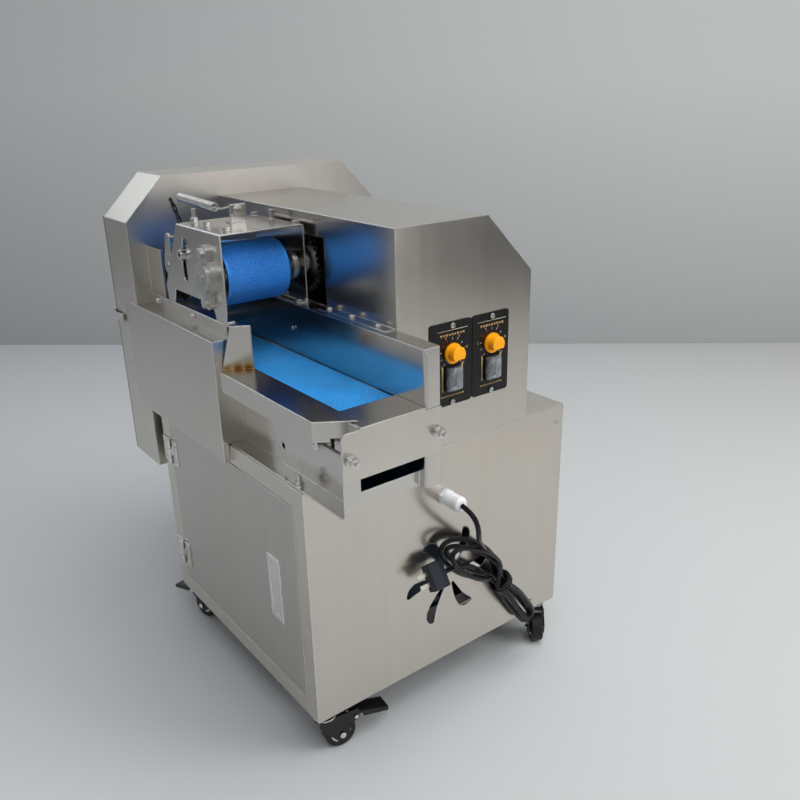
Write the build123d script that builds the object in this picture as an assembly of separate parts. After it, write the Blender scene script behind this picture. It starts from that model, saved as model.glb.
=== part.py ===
from build123d import *
import math
import os

os.makedirs("parts", exist_ok=True)

# Floor-standing conveyor-fed vegetable cutter. Millimetres, +Z up, +Y is the
# feed direction. Numbers are given from the near lower corner of the cabinet
# and moved to the centre of the footprint on the floor when a node is written.

# sheet metal
T = 1.5            # stainless sheet
T2 = 2.0           # heavier sheet for the cabinet and brackets
GAP = 1.5          # gap round the inset door
RUN = 0.3          # gap between curved faces of different moving pieces
FIT = 0.05         # radial clearance of a shaft in its bearing

# cabinet
CAB_W = 500.0
CAB_D = 477.0
CAB_H = 376.0
FLOOR = 75.0       # caster height
RIM = 30.0         # inward flange round the open bottom

# door in the long side, hinged on its far edge
DOOR_Y0 = 28.0
DOOR_Y1 = CAB_D - 32.0
DOOR_Z0 = 30.0
DOOR_Z1 = CAB_H - 31.0
DOOR_T = 15.0
HINGE_H = 46.0
HINGE_Z = (DOOR_Z0 + 52.0, DOOR_Z1 - 62.0)
HINGE_R = 3.5

# feed trough
BELT_Z = CAB_H + 113.0     # top of the feed belt
BELT_T = 2.0
ROLL_R = 33.7
BELT_X0 = 34.0
BELT_X1 = 132.0
ROLL_Z = BELT_Z - BELT_T - ROLL_R - RUN
TAIL_Y = -26.0
DRIVE_Y = CAB_D - 33.0
WALL_L = 31.0      # inner face of the left channel wall
WALL_R = 134.0     # inner face of the right box wall
BOX_R = 160.7      # outer face of the right box wall, against the housing
TROUGH_Y0 = -91.0
HEAD_Y = CAB_D + 20.0
RAIL_TOP_R = BELT_Z + 77.0
RAIL_TOP_L = BELT_Z + 69.0
RAIL_X0 = 14.5
RAIL_X1 = WALL_L + T
RAIL_Y0 = 208.0
SHELF_Z = BELT_Z + 5.0
SHAFT_R = 8.0

# side guard
GUARD_X = -10.0
GUARD_Y0 = RAIL_Y0
GUARD_Y1 = HEAD_Y + 48.0
GUARD_Z0 = CAB_H - 26.0
GUARD_Z1 = RAIL_TOP_L - 21.0

# cable gland (x, z)
GLAND = (244.0, CAB_H - 85.0)

# control housing
HOUSE_X1 = 412.5
HOUSE_Z1 = RAIL_TOP_R + 134.5
HOUSE_CH = 89.0    # chamfer of the far upper edge

# cutting head
HEAD_X0 = -8.0
HEAD_X1 = CAB_W - 18.0
HEAD_Z0 = CAB_H - 136.0
HEAD_Z1 = HOUSE_Z1 + 40.5
HEAD_Y1 = HEAD_Y + 103.0
HEAD_CH = 69.0
SEAL_T = 4.0
AXLE_X = 245.0     # blade shaft
AXLE_Z = CAB_H + 134.0
BLADE_R = 224.0
MOUTH_Z1 = RAIL_TOP_R + 34.0
CLASP_Z = CAB_H + 124.0

# press roller unit
DRUM_Y = 252.0
DRUM_Z = RAIL_TOP_R + 53.0
DRUM_R = 41.7
REAR_Y = 410.0
REAR_Z = DRUM_Z - 7.0
REAR_R = 24.7
PRESS_X0 = 26.0
PRESS_X1 = 126.0
GANTRY_X0 = 16.0
GANTRY_X1 = 150.5
GANTRY_Y0 = 205.0
GANTRY_Y1 = 350.0
GANTRY_Z = DRUM_Z + 66.0
PIN_Y = 332.0      # guide pin in the arc slot
PIN_Z = DRUM_Z + 22.0
PIN_R = 7.5
SWING_DOWN = 8.0
SWING_UP = 12.0

# chain drives, 9.525 mm pitch
PITCH = 9.525
GEAR_Y = DRIVE_Y - 19.0
GEAR_Z = CAB_H - 114.0
CHAIN_X = 146.0
CHAIN2_X = 167.0
TEETH_OUT = 15
TEETH_IN = 20
TEETH_FEED = 18
TEETH_PRESS = 22
GEAR_N = 29         # reversing gear pair of the press, module 3
GEAR_M = 3.0
GEAR_X = 173.0
COUNTER_Y = 312.0
COUNTER_Z = DRUM_Z - 63.0

# belt drive of the blades
VBELT_Y = 312.0
MOTOR_Z = 165.0
PULLEY_BLADE = 60.0
PULLEY_MOTOR = 43.5

# control panels
PANEL_T = 1.5
KNOB_X = (257.0, 333.0)
KNOB_Z = CAB_H + 139.0
ROCK_Z = KNOB_Z - 37.0

# casters: swivel axis, heading of the wheel from the axis (degrees)
WHEEL_R = 25.0
WHEEL_T = 20.0
TRAIL = 22.0
CASTERS = (("near_left", 24.0, 24.0, -8.0), ("near_right", CAB_W - 24.0, 26.0, 236.0),
           ("far_left", 40.0, CAB_D - 41.0, 104.0), ("far_right", CAB_W - 42.0, CAB_D - 37.0, 150.0))
BRAKED = ("near_left", "far_left")

# footprint centre: clasp and door knuckles to the cabinet side, tension bolts to the cover grip
X_MIN = GUARD_X - 4.6
X_MAX = CAB_W
Y_MIN = TROUGH_Y0 - 19.0
Y_MAX = HEAD_Y1 + SEAL_T + 42.0
SHIFT = (-(X_MIN + X_MAX) / 2, -(Y_MIN + Y_MAX) / 2, FLOOR)


def box(x0, x1, y0, y1, z0, z1):
    solid = Solid.make_box(x1 - x0, y1 - y0, z1 - z0)
    return solid.moved(Location((x0, y0, z0)))


def rod_x(x0, x1, y, z, r):
    return Solid.make_cylinder(r, x1 - x0, Plane((x0, y, z), z_dir=(1, 0, 0)))


def rod_y(x, y0, y1, z, r):
    return Solid.make_cylinder(r, y1 - y0, Plane((x, y0, z), z_dir=(0, 1, 0)))


def rod_z(x, y, z0, z1, r):
    return Solid.make_cylinder(r, z1 - z0, Plane((x, y, z0), z_dir=(0, 0, 1)))


def prism_x(points, x0, x1):
    wire = Wire.make_polygon([(x0, y, z) for y, z in points], close=True)
    return Solid.extrude(Face(wire), Vector(x1 - x0, 0, 0))


def prism_y(points, y0, y1):
    wire = Wire.make_polygon([(x, y0, z) for x, z in points], close=True)
    return Solid.extrude(Face(wire), Vector(0, y1 - y0, 0))


def prism_z(points, z0, z1):
    wire = Wire.make_polygon([(x, y, z0) for x, y in points], close=True)
    return Solid.extrude(Face(wire), Vector(0, 0, z1 - z0))


def hexagon(r, turn=0.0):
    return [(r * math.cos(math.radians(60 * i + turn)),
             r * math.sin(math.radians(60 * i + turn))) for i in range(6)]


def bolt_y(x, y, z, r, head, sign):
    """Hexagon head on a face looking along Y, with its washer."""
    lo, hi = (y - 1.2, y) if sign < 0 else (y, y + 1.2)
    washer = rod_y(x, lo, hi, z, r * 1.9)
    lo, hi = (y - 1.2 - head, y - 1.2) if sign < 0 else (y + 1.2, y + 1.2 + head)
    cap = prism_y([(x + a, z + b) for a, b in hexagon(r * 1.55, 30)], lo, hi)
    return washer.fuse(cap)


def bolt_x(x, y, z, r, head, sign):
    """Hexagon head on a face looking along X."""
    lo, hi = (x - head, x) if sign < 0 else (x, x + head)
    return prism_x([(y + a, z + b) for a, b in hexagon(r * 1.55, 0)], lo, hi)


def bolt_z(x, y, z, r, head):
    """Hexagon head standing on a face looking up."""
    return prism_z([(x + a, y + b) for a, b in hexagon(r * 1.55, 0)], z, z + head)


def loop_x(circles, x0, x1):
    """Closed band round two circles (y, z, r), extruded along X."""
    (y1, z1, r1), (y2, z2, r2) = circles
    span = math.hypot(y2 - y1, z2 - z1)
    base = math.atan2(z2 - z1, y2 - y1)
    lean = math.acos((r1 - r2) / span)
    a = base + lean
    b = base - lean

    def at(cy, cz, r, ang):
        return (x0, cy + r * math.cos(ang), cz + r * math.sin(ang))

    edges = [
        Edge.make_line(at(y1, z1, r1, a), at(y2, z2, r2, a)),
        Edge.make_three_point_arc(at(y2, z2, r2, a), at(y2, z2, r2, base), at(y2, z2, r2, b)),
        Edge.make_line(at(y2, z2, r2, b), at(y1, z1, r1, b)),
        Edge.make_three_point_arc(at(y1, z1, r1, b), at(y1, z1, r1, base + math.pi), at(y1, z1, r1, a)),
    ]
    return Solid.extrude(Face(Wire(edges)), Vector(x1 - x0, 0, 0))


def band_x(circles, x0, x1, thick, inset=0.0):
    """Belt or chain of one thickness round two circles."""
    outer = loop_x([(y, z, r + thick) for y, z, r in circles], x0, x1)
    inner = loop_x([(y, z, r + inset) for y, z, r in circles], x0 - 1, x1 + 1)
    return outer.cut(inner)


def pitch_radius(teeth):
    return PITCH / (2 * math.sin(math.pi / teeth))


def sprocket_x(y, z, teeth, x0, x1, hub_r, hub_x0, hub_x1, bore, turn=0.0):
    """Toothed wheel on a hub, bored for its shaft."""
    rim = pitch_radius(teeth) + 1.6
    root = pitch_radius(teeth) - 3.4
    points = []
    for i in range(teeth):
        for frac, rad in ((-0.30, root), (-0.10, rim), (0.10, rim), (0.30, root)):
            ang = 2 * math.pi * (i + frac) / teeth + turn
            points.append((y + rad * math.cos(ang), z + rad * math.sin(ang)))
    wheel = prism_x(points, x0, x1).fuse(rod_x(hub_x0, hub_x1, y, z, hub_r))
    return wheel.cut(rod_x(hub_x0 - 1, hub_x1 + 1, y, z, bore))


def gear_x(y, z, teeth, module, x0, x1, phase):
    """Spur gear; one tooth points at the angle phase."""
    points = []
    pitch_r = module * teeth / 2
    for i in range(teeth):
        for frac, rad in ((-0.27, pitch_r - 1.15 * module), (-0.11, pitch_r + 0.8 * module),
                          (0.11, pitch_r + 0.8 * module), (0.27, pitch_r - 1.15 * module)):
            ang = 2 * math.pi * (i + frac) / teeth + phase
            points.append((y + rad * math.cos(ang), z + rad * math.sin(ang)))
    return prism_x(points, x0, x1)


def ring_x(x0, x1, y, z, outer, inner):
    return rod_x(x0, x1, y, z, outer).cut(rod_x(x0 - 1, x1 + 1, y, z, inner))


def ring_y(x, y0, y1, z, outer, inner):
    return rod_y(x, y0, y1, z, outer).cut(rod_y(x, y0 - 1, y1 + 1, z, inner))


def ring_z(x, y, z0, z1, outer, inner):
    return rod_z(x, y, z0, z1, outer).cut(rod_z(x, y, z0 - 1, z1 + 1, inner))


NODES = {}


def node(name, shape):
    NODES[name] = shape
    return shape


# Cabinet: folded box, open bottom with an inward flange, louvred end face
body = box(0, CAB_W, 0, CAB_D, 0, CAB_H)
body = body.cut(box(T2, CAB_W - T2, T2, CAB_D - T2, T2, CAB_H - T2))
body = body.cut(box(RIM, CAB_W - RIM, 85, CAB_D - 85, -1, T2 + 1))
body = body.cut(box(85, CAB_W - 85, RIM, CAB_D - RIM, -1, T2 + 1))
body = body.cut(box(-1, T2 + 1, DOOR_Y0 - GAP, DOOR_Y1 + GAP, DOOR_Z0 - GAP, DOOR_Z1 + GAP))
VENT = ((17, 0, 2.0), (34, -2.5, 5.5), (52, -4.0, 8.0), (68, -2.0, 10.0), (77, 2.0, 9.0),
        (81, 5.0, 6.5))
for i in range(6):
    ang = math.radians(60 * i)
    ring = [(r, s - w) for r, s, w in VENT] + [(83.0, 5.5)]
    ring += [(r, s + w) for r, s, w in reversed(VENT)]
    turned = [(CAB_W / 2 + r * math.cos(ang) - s * math.sin(ang),
               150 + r * math.sin(ang) + s * math.cos(ang)) for r, s in ring]
    body = body.cut(prism_y(turned, -1, T2 + 1))
body = body.cut(rod_y(GLAND[0], -1, T2 + 1, GLAND[1], 8.5))
DECK = CAB_H - T2
body = body.cut(box(176, 392, 60, 330, DECK - 1, CAB_H + 1))
body = body.cut(box(CHAIN_X - 8, CHAIN_X + 10, GEAR_Y - 45, GEAR_Y + 45, DECK - 1, CAB_H + 1))
# jamb and stop lip inside the door opening
jamb = box(T2, 20, DOOR_Y0 - GAP - T, DOOR_Y1 + GAP + T, DOOR_Z0 - GAP - T, DOOR_Z1 + GAP + T)
jamb = jamb.cut(box(0, 21, DOOR_Y0 - GAP, DOOR_Y1 + GAP, DOOR_Z0 - GAP, DOOR_Z1 + GAP))
lip = box(20 - T, 20, DOOR_Y0 - GAP, DOOR_Y1 + GAP, DOOR_Z0 - GAP, DOOR_Z1 + GAP)
lip = lip.cut(box(0, 21, DOOR_Y0 + 10, DOOR_Y1 - 10, DOOR_Z0 + 10, DOOR_Z1 - 10))
body = body.fuse(jamb).fuse(lip)
# motor rails across the bottom
for y in (90.0, 220.0):
    rail = box(T2, CAB_W - T2, y, y + 40, 22, 24).fuse(box(T2, CAB_W - T2, y, y + 2, T2, 22))
    rail = rail.fuse(box(T2, CAB_W - T2, y + 38, y + 40, T2, 22))
    body = body.fuse(rail)
# gear motor shelf on the right inner side of the chain
body = body.fuse(box(CHAIN_X + 14, CAB_W - T2, GEAR_Y - 40, CAB_D - T2, GEAR_Z - 54, GEAR_Z - 52))
node("cabinet_shell", body)

# Door: inset folded pan with a latch pocket
dy0, dy1, dz0, dz1 = DOOR_Y0, DOOR_Y1, DOOR_Z0, DOOR_Z1
LATCH_Y0, LATCH_Y1, LATCH_Z0, LATCH_Z1 = 79.0, 115.0, 130.0, 237.0
door = box(0, DOOR_T, dy0, dy1, dz0, dz1)
door = door.cut(box(T, DOOR_T + 1, dy0 + T, dy1 - T, dz0 + T, dz1 - T))
door = door.cut(box(-1, T + 1, LATCH_Y0 + 4, LATCH_Y1 - 4, LATCH_Z0 + 6, LATCH_Z1 - 6))
node("door", door)

# Latch body set in the door, with a swinging paddle
cup = box(-2, 0, LATCH_Y0, LATCH_Y1, LATCH_Z0, LATCH_Z1)
cup = cup.fuse(box(0, 13, LATCH_Y0 + 4, LATCH_Y1 - 4, LATCH_Z0 + 6, LATCH_Z1 - 6))
cup = cup.cut(box(-3, 11, LATCH_Y0 + 7, LATCH_Y1 - 7, LATCH_Z0 + 10, LATCH_Z1 - 10))
PAD_Z = LATCH_Z1 - 15.0
PAD_PIN_X = 3.0
cup = cup.cut(rod_y(PAD_PIN_X, LATCH_Y0 + 5.0, LATCH_Y1 - 5.0, PAD_Z, 1.5 + FIT))
node("latch_body", cup)
pad = box(-1.2, 1.3, LATCH_Y0 + 7.6, LATCH_Y1 - 7.6, LATCH_Z0 + 10.8, PAD_Z + 2.0)
pad = pad.fuse(box(-1.2, 4.5, LATCH_Y0 + 7.6, LATCH_Y1 - 7.6, PAD_Z - 3.0, PAD_Z + 3.0))
pad = pad.fuse(rod_y(PAD_PIN_X, LATCH_Y0 + 5.3, LATCH_Y1 - 5.3, PAD_Z, 1.5))
node("latch_paddle", pad)

# Surface hinges on the far edge of the door: fixed leaf and moving leaf
PIN_X, HPIN_Y = -HINGE_R - 1.0, DOOR_Y1 + GAP / 2
fixed_all = []
moving_all = []
for z in HINGE_Z:
    lo = z - HINGE_H / 2
    leaf = box(-2.0, 0, HPIN_Y + 1.5, CAB_D - 1, lo, lo + HINGE_H)
    leaf = leaf.fuse(box(PIN_X, 0, HPIN_Y - 0.2, HPIN_Y + 1.9, lo, lo + HINGE_H))
    leaf = leaf.fuse(rod_z(PIN_X, HPIN_Y, lo, lo + HINGE_H, HINGE_R))
    third = HINGE_H / 3
    leaf = leaf.cut(rod_z(PIN_X, HPIN_Y, lo + third - 0.3, lo + 2 * third + 0.3, HINGE_R + 0.6))
    leaf = leaf.cut(box(PIN_X - 5, 1, HPIN_Y - 5, HPIN_Y + 4.6, lo + third - 0.3, lo + 2 * third + 0.3))
    leaf = leaf.cut(box(-30, 1, HPIN_Y - 30, HPIN_Y - HINGE_R - 0.1, lo - 1, lo + HINGE_H + 1))
    pin = rod_z(PIN_X, HPIN_Y, lo + third - 0.3, lo + 2 * third + 0.3, 1.5)
    leaf = leaf.fuse(pin)
    for k in (0.22, 0.78):
        leaf = leaf.fuse(rod_x(-3.2, -2.0, HPIN_Y + 18, lo + k * HINGE_H, 3.0))
    fixed_all.append(leaf)
    wing = box(-2.0, 0, HPIN_Y - 24, HPIN_Y - 1.5, lo, lo + HINGE_H)
    knuckle = rod_z(PIN_X, HPIN_Y, lo + third, lo + 2 * third, HINGE_R)
    knuckle = knuckle.fuse(box(PIN_X, 0, HPIN_Y - 1.9, HPIN_Y - 0.2, lo + third, lo + 2 * third))
    wing = wing.cut(rod_z(PIN_X, HPIN_Y, lo - 1, lo + third, HINGE_R + 0.6))
    wing = wing.cut(rod_z(PIN_X, HPIN_Y, lo + 2 * third, lo + HINGE_H + 1, HINGE_R + 0.6))
    wing = wing.cut(box(-3, 1, HPIN_Y - 4.6, HPIN_Y, lo - 1, lo + third))
    wing = wing.cut(box(-3, 1, HPIN_Y - 4.6, HPIN_Y, lo + 2 * third, lo + HINGE_H + 1))
    wing = wing.fuse(knuckle)
    wing = wing.cut(rod_z(PIN_X, HPIN_Y, lo - 1, lo + HINGE_H + 1, 1.5 + FIT))
    for k in (0.22, 0.78):
        wing = wing.fuse(rod_x(-3.2, -2.0, HPIN_Y - 16, lo + k * HINGE_H, 3.0))
    moving_all.append(wing)
node("hinge_fixed", Compound(fixed_all))
node("hinge_moving", Compound(moving_all))

# Trough frame: left channel wall with its foot flange, pan, hollow right wall
frame = box(3, WALL_L, TROUGH_Y0, HEAD_Y, CAB_H, CAB_H + T)
frame = frame.fuse(box(WALL_L - T, WALL_L, TROUGH_Y0, HEAD_Y, CAB_H, SHELF_Z - T))
frame = frame.fuse(box(5.6, WALL_L, TROUGH_Y0, TROUGH_Y0 + T, CAB_H, BELT_Z - 1))
frame = frame.fuse(box(WALL_L, WALL_R, -75, HEAD_Y, CAB_H, CAB_H + T))
frame = frame.fuse(box(WALL_L, WALL_R, -75 - T, -75, CAB_H, CAB_H + 21))
outer = box(WALL_R, BOX_R, TROUGH_Y0, HEAD_Y, CAB_H, RAIL_TOP_R)
edges = [e for e in outer.edges() if e.center().Y < TROUGH_Y0 + 0.1 and e.center().Z > 400]
outer = outer.fillet(5.0, edges)
inner = box(WALL_R + T, BOX_R - T, TROUGH_Y0 + T, HEAD_Y + 1, CAB_H - 1, RAIL_TOP_R - T)
edges = [e for e in inner.edges() if e.center().Y < TROUGH_Y0 + T + 0.1 and e.center().Z > 400]
inner = inner.fillet(3.5, edges)
frame = frame.fuse(outer.cut(inner))
# slider bed under the belt, and bosses for the drive shaft
frame = frame.fuse(box(WALL_L, WALL_R, 12, DRIVE_Y - 44, BELT_Z - BELT_T - RUN - T, BELT_Z - BELT_T - RUN))
frame = frame.fuse(rod_x(22, WALL_L - T, DRIVE_Y, ROLL_Z, 17))
# left rail beside the throat, above the guard lid
rail = box(RAIL_X0, RAIL_X1, RAIL_Y0, HEAD_Y, GUARD_Z1, RAIL_TOP_L)
rail = rail.cut(box(RAIL_X0 + T, RAIL_X1 - T, RAIL_Y0 + T, HEAD_Y + 1, GUARD_Z1 - 1, RAIL_TOP_L - T))
frame = frame.fuse(rail)
frame = frame.fuse(box(RAIL_X1 - T, RAIL_X1, RAIL_Y0, HEAD_Y, BELT_Z - 9, GUARD_Z1))
for y in (321.0, 455.0):
    frame = frame.fuse(rod_x(RAIL_X0 - 2.5, RAIL_X0, y, RAIL_TOP_L - 10, 4.5))
# holes for the shafts
frame = frame.cut(rod_x(20, BOX_R + 1, DRIVE_Y, ROLL_Z, SHAFT_R + FIT))
for x0, x1 in ((WALL_L - T - 1, WALL_L + 1), (WALL_R - 1, WALL_R + T + 1)):
    frame = frame.cut(box(x0, x1, TAIL_Y - 12, TAIL_Y + 14, ROLL_Z - SHAFT_R, ROLL_Z + SHAFT_R))
TENSION = ((16.6, ROLL_Z), (152.6, ROLL_Z))
for x, z in TENSION:
    frame = frame.cut(rod_y(x, TROUGH_Y0 - 1, TROUGH_Y0 + T + 1, z, 3.3))
frame = frame.cut(rod_x(WALL_L - T - 1, WALL_L + 1, 95, CAB_H + 29, 4.5))
for y in (24.0, 420.0):
    frame = frame.fuse(rod_z(11, y, CAB_H + T, CAB_H + T + 1.2, 8.0))
    frame = frame.fuse(bolt_z(11, y, CAB_H + T + 1.2, 4.0, 5.0)).fuse(rod_z(11, y, CAB_H + T, CAB_H + 16, 3.0))
node("trough_frame", frame)

# End plate folded into the nose over the tail roller
plate = prism_y([(5.6, BELT_Z - 65), (159.5, BELT_Z - 65), (159.5, BELT_Z - 2), (WALL_R, BELT_Z - 2),
                 (WALL_R, BELT_Z + 2), (32, BELT_Z + 2), (32, BELT_Z), (11, BELT_Z), (7.2, BELT_Z - 1.6),
                 (5.6, BELT_Z - 5.4)], TROUGH_Y0 - T, TROUGH_Y0)
plate = plate.fuse(box(33, WALL_R - 0.5, TROUGH_Y0, -31, BELT_Z + 0.5, BELT_Z + 2.0))
for x, z in TENSION:
    plate = plate.cut(rod_y(x, TROUGH_Y0 - T - 1, TROUGH_Y0 + 1, z, 3.3))
node("end_plate", plate)

# Tail axle with its two tension bolts
axle = rod_x(8, 157, TAIL_Y, ROLL_Z, SHAFT_R)
for x, z in TENSION:
    axle = axle.fuse(rod_y(x, Y_MIN, TAIL_Y, z, 3.0))
    axle = axle.fuse(rod_y(x, TROUGH_Y0 - T - 3, TROUGH_Y0 - T, z, 8.0))
    axle = axle.fuse(rod_y(x, TROUGH_Y0 - T - 5, TROUGH_Y0 - T - 3, z, 6.5))
    axle = axle.fuse(bolt_y(x, TROUGH_Y0 - T - 4, z, 4.2, 6.5, -1))
node("tail_axle", axle)

# Tail roller: tube with two end discs
roller = rod_x(BELT_X0 + 1.5, BELT_X1 - 1.5, TAIL_Y, ROLL_Z, ROLL_R)
roller = roller.cut(rod_x(BELT_X0 + 6, BELT_X1 - 6, TAIL_Y, ROLL_Z, ROLL_R - 3))
roller = roller.cut(rod_x(BELT_X0, BELT_X1, TAIL_Y, ROLL_Z, SHAFT_R + FIT))
node("tail_roller", roller)

# Feed belt: closed loop round both rollers
belt = band_x([(TAIL_Y, ROLL_Z, ROLL_R), (DRIVE_Y, ROLL_Z, ROLL_R + 0.0001)],
              BELT_X0, BELT_X1, BELT_T + RUN, RUN)
node("feed_belt", belt)

# Drive roller with shaft and two chain wheels
drive = rod_x(BELT_X0 + 1.5, BELT_X1 - 1.5, DRIVE_Y, ROLL_Z, ROLL_R)
drive = drive.cut(rod_x(BELT_X0 + 6, BELT_X1 - 6, DRIVE_Y, ROLL_Z, ROLL_R - 3))
drive = drive.fuse(rod_x(22, CHAIN2_X + 8, DRIVE_Y, ROLL_Z, SHAFT_R))
drive = drive.fuse(sprocket_x(DRIVE_Y, ROLL_Z, TEETH_IN, CHAIN_X - 2.6, CHAIN_X + 2.6, 15,
                              WALL_R + T + 1, CHAIN_X + 2.6, SHAFT_R))
drive = drive.fuse(sprocket_x(DRIVE_Y, ROLL_Z, TEETH_FEED, CHAIN2_X - 2.6, CHAIN2_X + 2.6, 15,
                              BOX_R + T + 1, CHAIN2_X + 2.6, SHAFT_R))
node("drive_roller", drive)


def chain_x(a, b, mid):
    """Roller chain as one closed loop: two side plates joined outside the teeth."""
    loop = band_x([(a[0], a[1], a[2]), (b[0], b[1], b[2])], mid - 4.2, mid + 4.2, 4.0, -4.0)
    slot = loop_x([(a[0], a[1], a[2] + 2.0), (b[0], b[1], b[2] + 2.0)], mid - 3.0, mid + 3.0)
    return loop.cut(slot)


feed_chain = chain_x((DRIVE_Y, ROLL_Z, pitch_radius(TEETH_IN)),
                     (GEAR_Y, GEAR_Z, pitch_radius(TEETH_OUT)), CHAIN_X)
node("feed_chain", feed_chain)

# Gear motor on its shelf, with the pinion on its shaft
gear = box(160, 222, GEAR_Y - 30, GEAR_Y + 30, GEAR_Z - 40, GEAR_Z + 40)
gear = gear.fuse(rod_x(222, 330, GEAR_Y, GEAR_Z, 34))
gear = gear.fuse(rod_x(330, 362, GEAR_Y, GEAR_Z, 36)).fuse(rod_x(154, 160, GEAR_Y, GEAR_Z, 20))
gear = gear.fuse(box(162, 320, GEAR_Y - 33, GEAR_Y - 25, GEAR_Z - 52, GEAR_Z - 40))
gear = gear.fuse(box(162, 320, GEAR_Y + 25, GEAR_Y + 33, GEAR_Z - 52, GEAR_Z - 40))
gear = gear.fuse(box(236, 320, GEAR_Y - 33, GEAR_Y + 33, GEAR_Z - 44, GEAR_Z - 30))
gear = gear.fuse(box(240, 290, GEAR_Y - 25, GEAR_Y + 25, GEAR_Z + 33, GEAR_Z + 60))
gear = gear.cut(rod_x(153, 176, GEAR_Y, GEAR_Z, 7 + FIT))
node("gear_motor", gear)
pinion = sprocket_x(GEAR_Y, GEAR_Z, TEETH_OUT, CHAIN_X - 2.6, CHAIN_X + 2.6, 12,
                    CHAIN_X - 2.6, 153.4, 7)
pinion = pinion.fuse(rod_x(CHAIN_X - 4, 175, GEAR_Y, GEAR_Z, 7))
node("feed_pinion", pinion)

# Side shelf with rolled lips and the welded gusset at its far end
SHELF_X0, SHELF_X1 = -6.0, 40.0
top = [(SHELF_X0, -46), (SHELF_X1, -78), (SHELF_X1, RAIL_Y0 - 24), (2, RAIL_Y0), (SHELF_X0, RAIL_Y0)]
shelf = prism_z(top, SHELF_Z - T, SHELF_Z)
shelf = shelf.fuse(box(SHELF_X0, SHELF_X0 + T, -46, RAIL_Y0, SHELF_Z - 30, SHELF_Z - T))
shelf = shelf.fuse(prism_z([(SHELF_X0, -46), (12, -58.52), (12, -56.7), (SHELF_X0, -44.2)],
                           SHELF_Z - 27, SHELF_Z - T))
shelf = shelf.fuse(prism_z([(12, -58.52), (SHELF_X1, -78), (SHELF_X1, -76.2), (12, -56.7)],
                           SHELF_Z - 22, SHELF_Z - T).cut(box(WALL_L - T, 60, -90, 0, CAB_H + 24, SHELF_Z - T)))
gus = prism_z([(2, RAIL_Y0 - 1.6), (SHELF_X1, RAIL_Y0 - 25.6), (SHELF_X1, RAIL_Y0 - 24), (2, RAIL_Y0)],
              SHELF_Z, RAIL_TOP_L)
slope = prism_y([(-10, SHELF_Z - 14), (2, SHELF_Z - 14), (2, SHELF_Z + 3), (RAIL_X0, RAIL_TOP_L - 4),
                 (RAIL_X0, RAIL_TOP_L + 12), (-10, RAIL_TOP_L + 12)], RAIL_Y0 - 38, RAIL_Y0 + 7)
gus = gus.cut(slope)
shelf = shelf.fuse(gus)
shelf = shelf.fuse(prism_z([(RAIL_X0, RAIL_Y0 - 9.4), (SHELF_X1, RAIL_Y0 - 25.6),
                            (SHELF_X1, RAIL_Y0 - 24), (RAIL_X1, RAIL_Y0),
                            (RAIL_X0, RAIL_Y0)], RAIL_TOP_L - T, RAIL_TOP_L))
node("side_shelf", shelf)

# Side guard: outer panel, lid and near end
guard = box(GUARD_X, HEAD_X0, GUARD_Y0, GUARD_Y1, GUARD_Z0, GUARD_Z1)
guard = guard.fuse(box(GUARD_X, WALL_L, GUARD_Y0, HEAD_Y, GUARD_Z1 - T, GUARD_Z1))
guard = guard.fuse(box(GUARD_X, 3, GUARD_Y0, GUARD_Y0 + T, CAB_H + T, GUARD_Z1 - T))
guard = guard.fuse(box(3, WALL_L - T, GUARD_Y0, GUARD_Y0 + T, CAB_H + T, GUARD_Z1 - T))
guard = guard.fuse(box(GUARD_X, -0.5, GUARD_Y0, GUARD_Y0 + T, GUARD_Z0, CAB_H + T))
node("side_guard", guard)

# Control housing: folded hood from the trough wall, closed by the head plate
lines = [(BOX_R, CAB_H), (HOUSE_X1, CAB_H), (HOUSE_X1, HOUSE_Z1 - HOUSE_CH),
         (HOUSE_X1 - HOUSE_CH, HOUSE_Z1), (BOX_R, HOUSE_Z1)]
c = T * math.tan(math.radians(22.5))
hollow = [(BOX_R + T, CAB_H - 1), (HOUSE_X1 - T, CAB_H - 1), (HOUSE_X1 - T, HOUSE_Z1 - HOUSE_CH - c),
          (HOUSE_X1 - HOUSE_CH - c, HOUSE_Z1 - T), (BOX_R + T, HOUSE_Z1 - T)]
house = prism_y(lines, 0, HEAD_Y).cut(prism_y(hollow, T, HEAD_Y + 1))
house = house.cut(box(BOX_R - 1, BOX_R + T + 1, 170, GANTRY_Y1 - 5, RAIL_TOP_R + T, DRUM_Z + 49))
house = house.cut(rod_x(BOX_R - 1, BOX_R + T + 1, DRIVE_Y, ROLL_Z, SHAFT_R + FIT))
house = house.fuse(box(143, BOX_R, 3, 168, RAIL_TOP_R, RAIL_TOP_R + T))
house = house.fuse(rod_x(BOX_R + T, GEAR_X + 8, COUNTER_Y, COUNTER_Z, 7))
house = house.fuse(rod_x(GEAR_X + 6.4, GEAR_X + 9, COUNTER_Y, COUNTER_Z, 9))
for y in (30.0, 92.0, 150.0):
    house = house.fuse(rod_z(152, y, RAIL_TOP_R + T, RAIL_TOP_R + T + 2.4, 4.5))
for x in KNOB_X:
    house = house.cut(rod_y(x, -1, T + 1, KNOB_Z, 3.4))
    house = house.cut(box(x - 11.2, x + 11.2, -1, T + 1, ROCK_Z - 15.6, ROCK_Z + 15.6))
node("control_housing", house)

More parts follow.
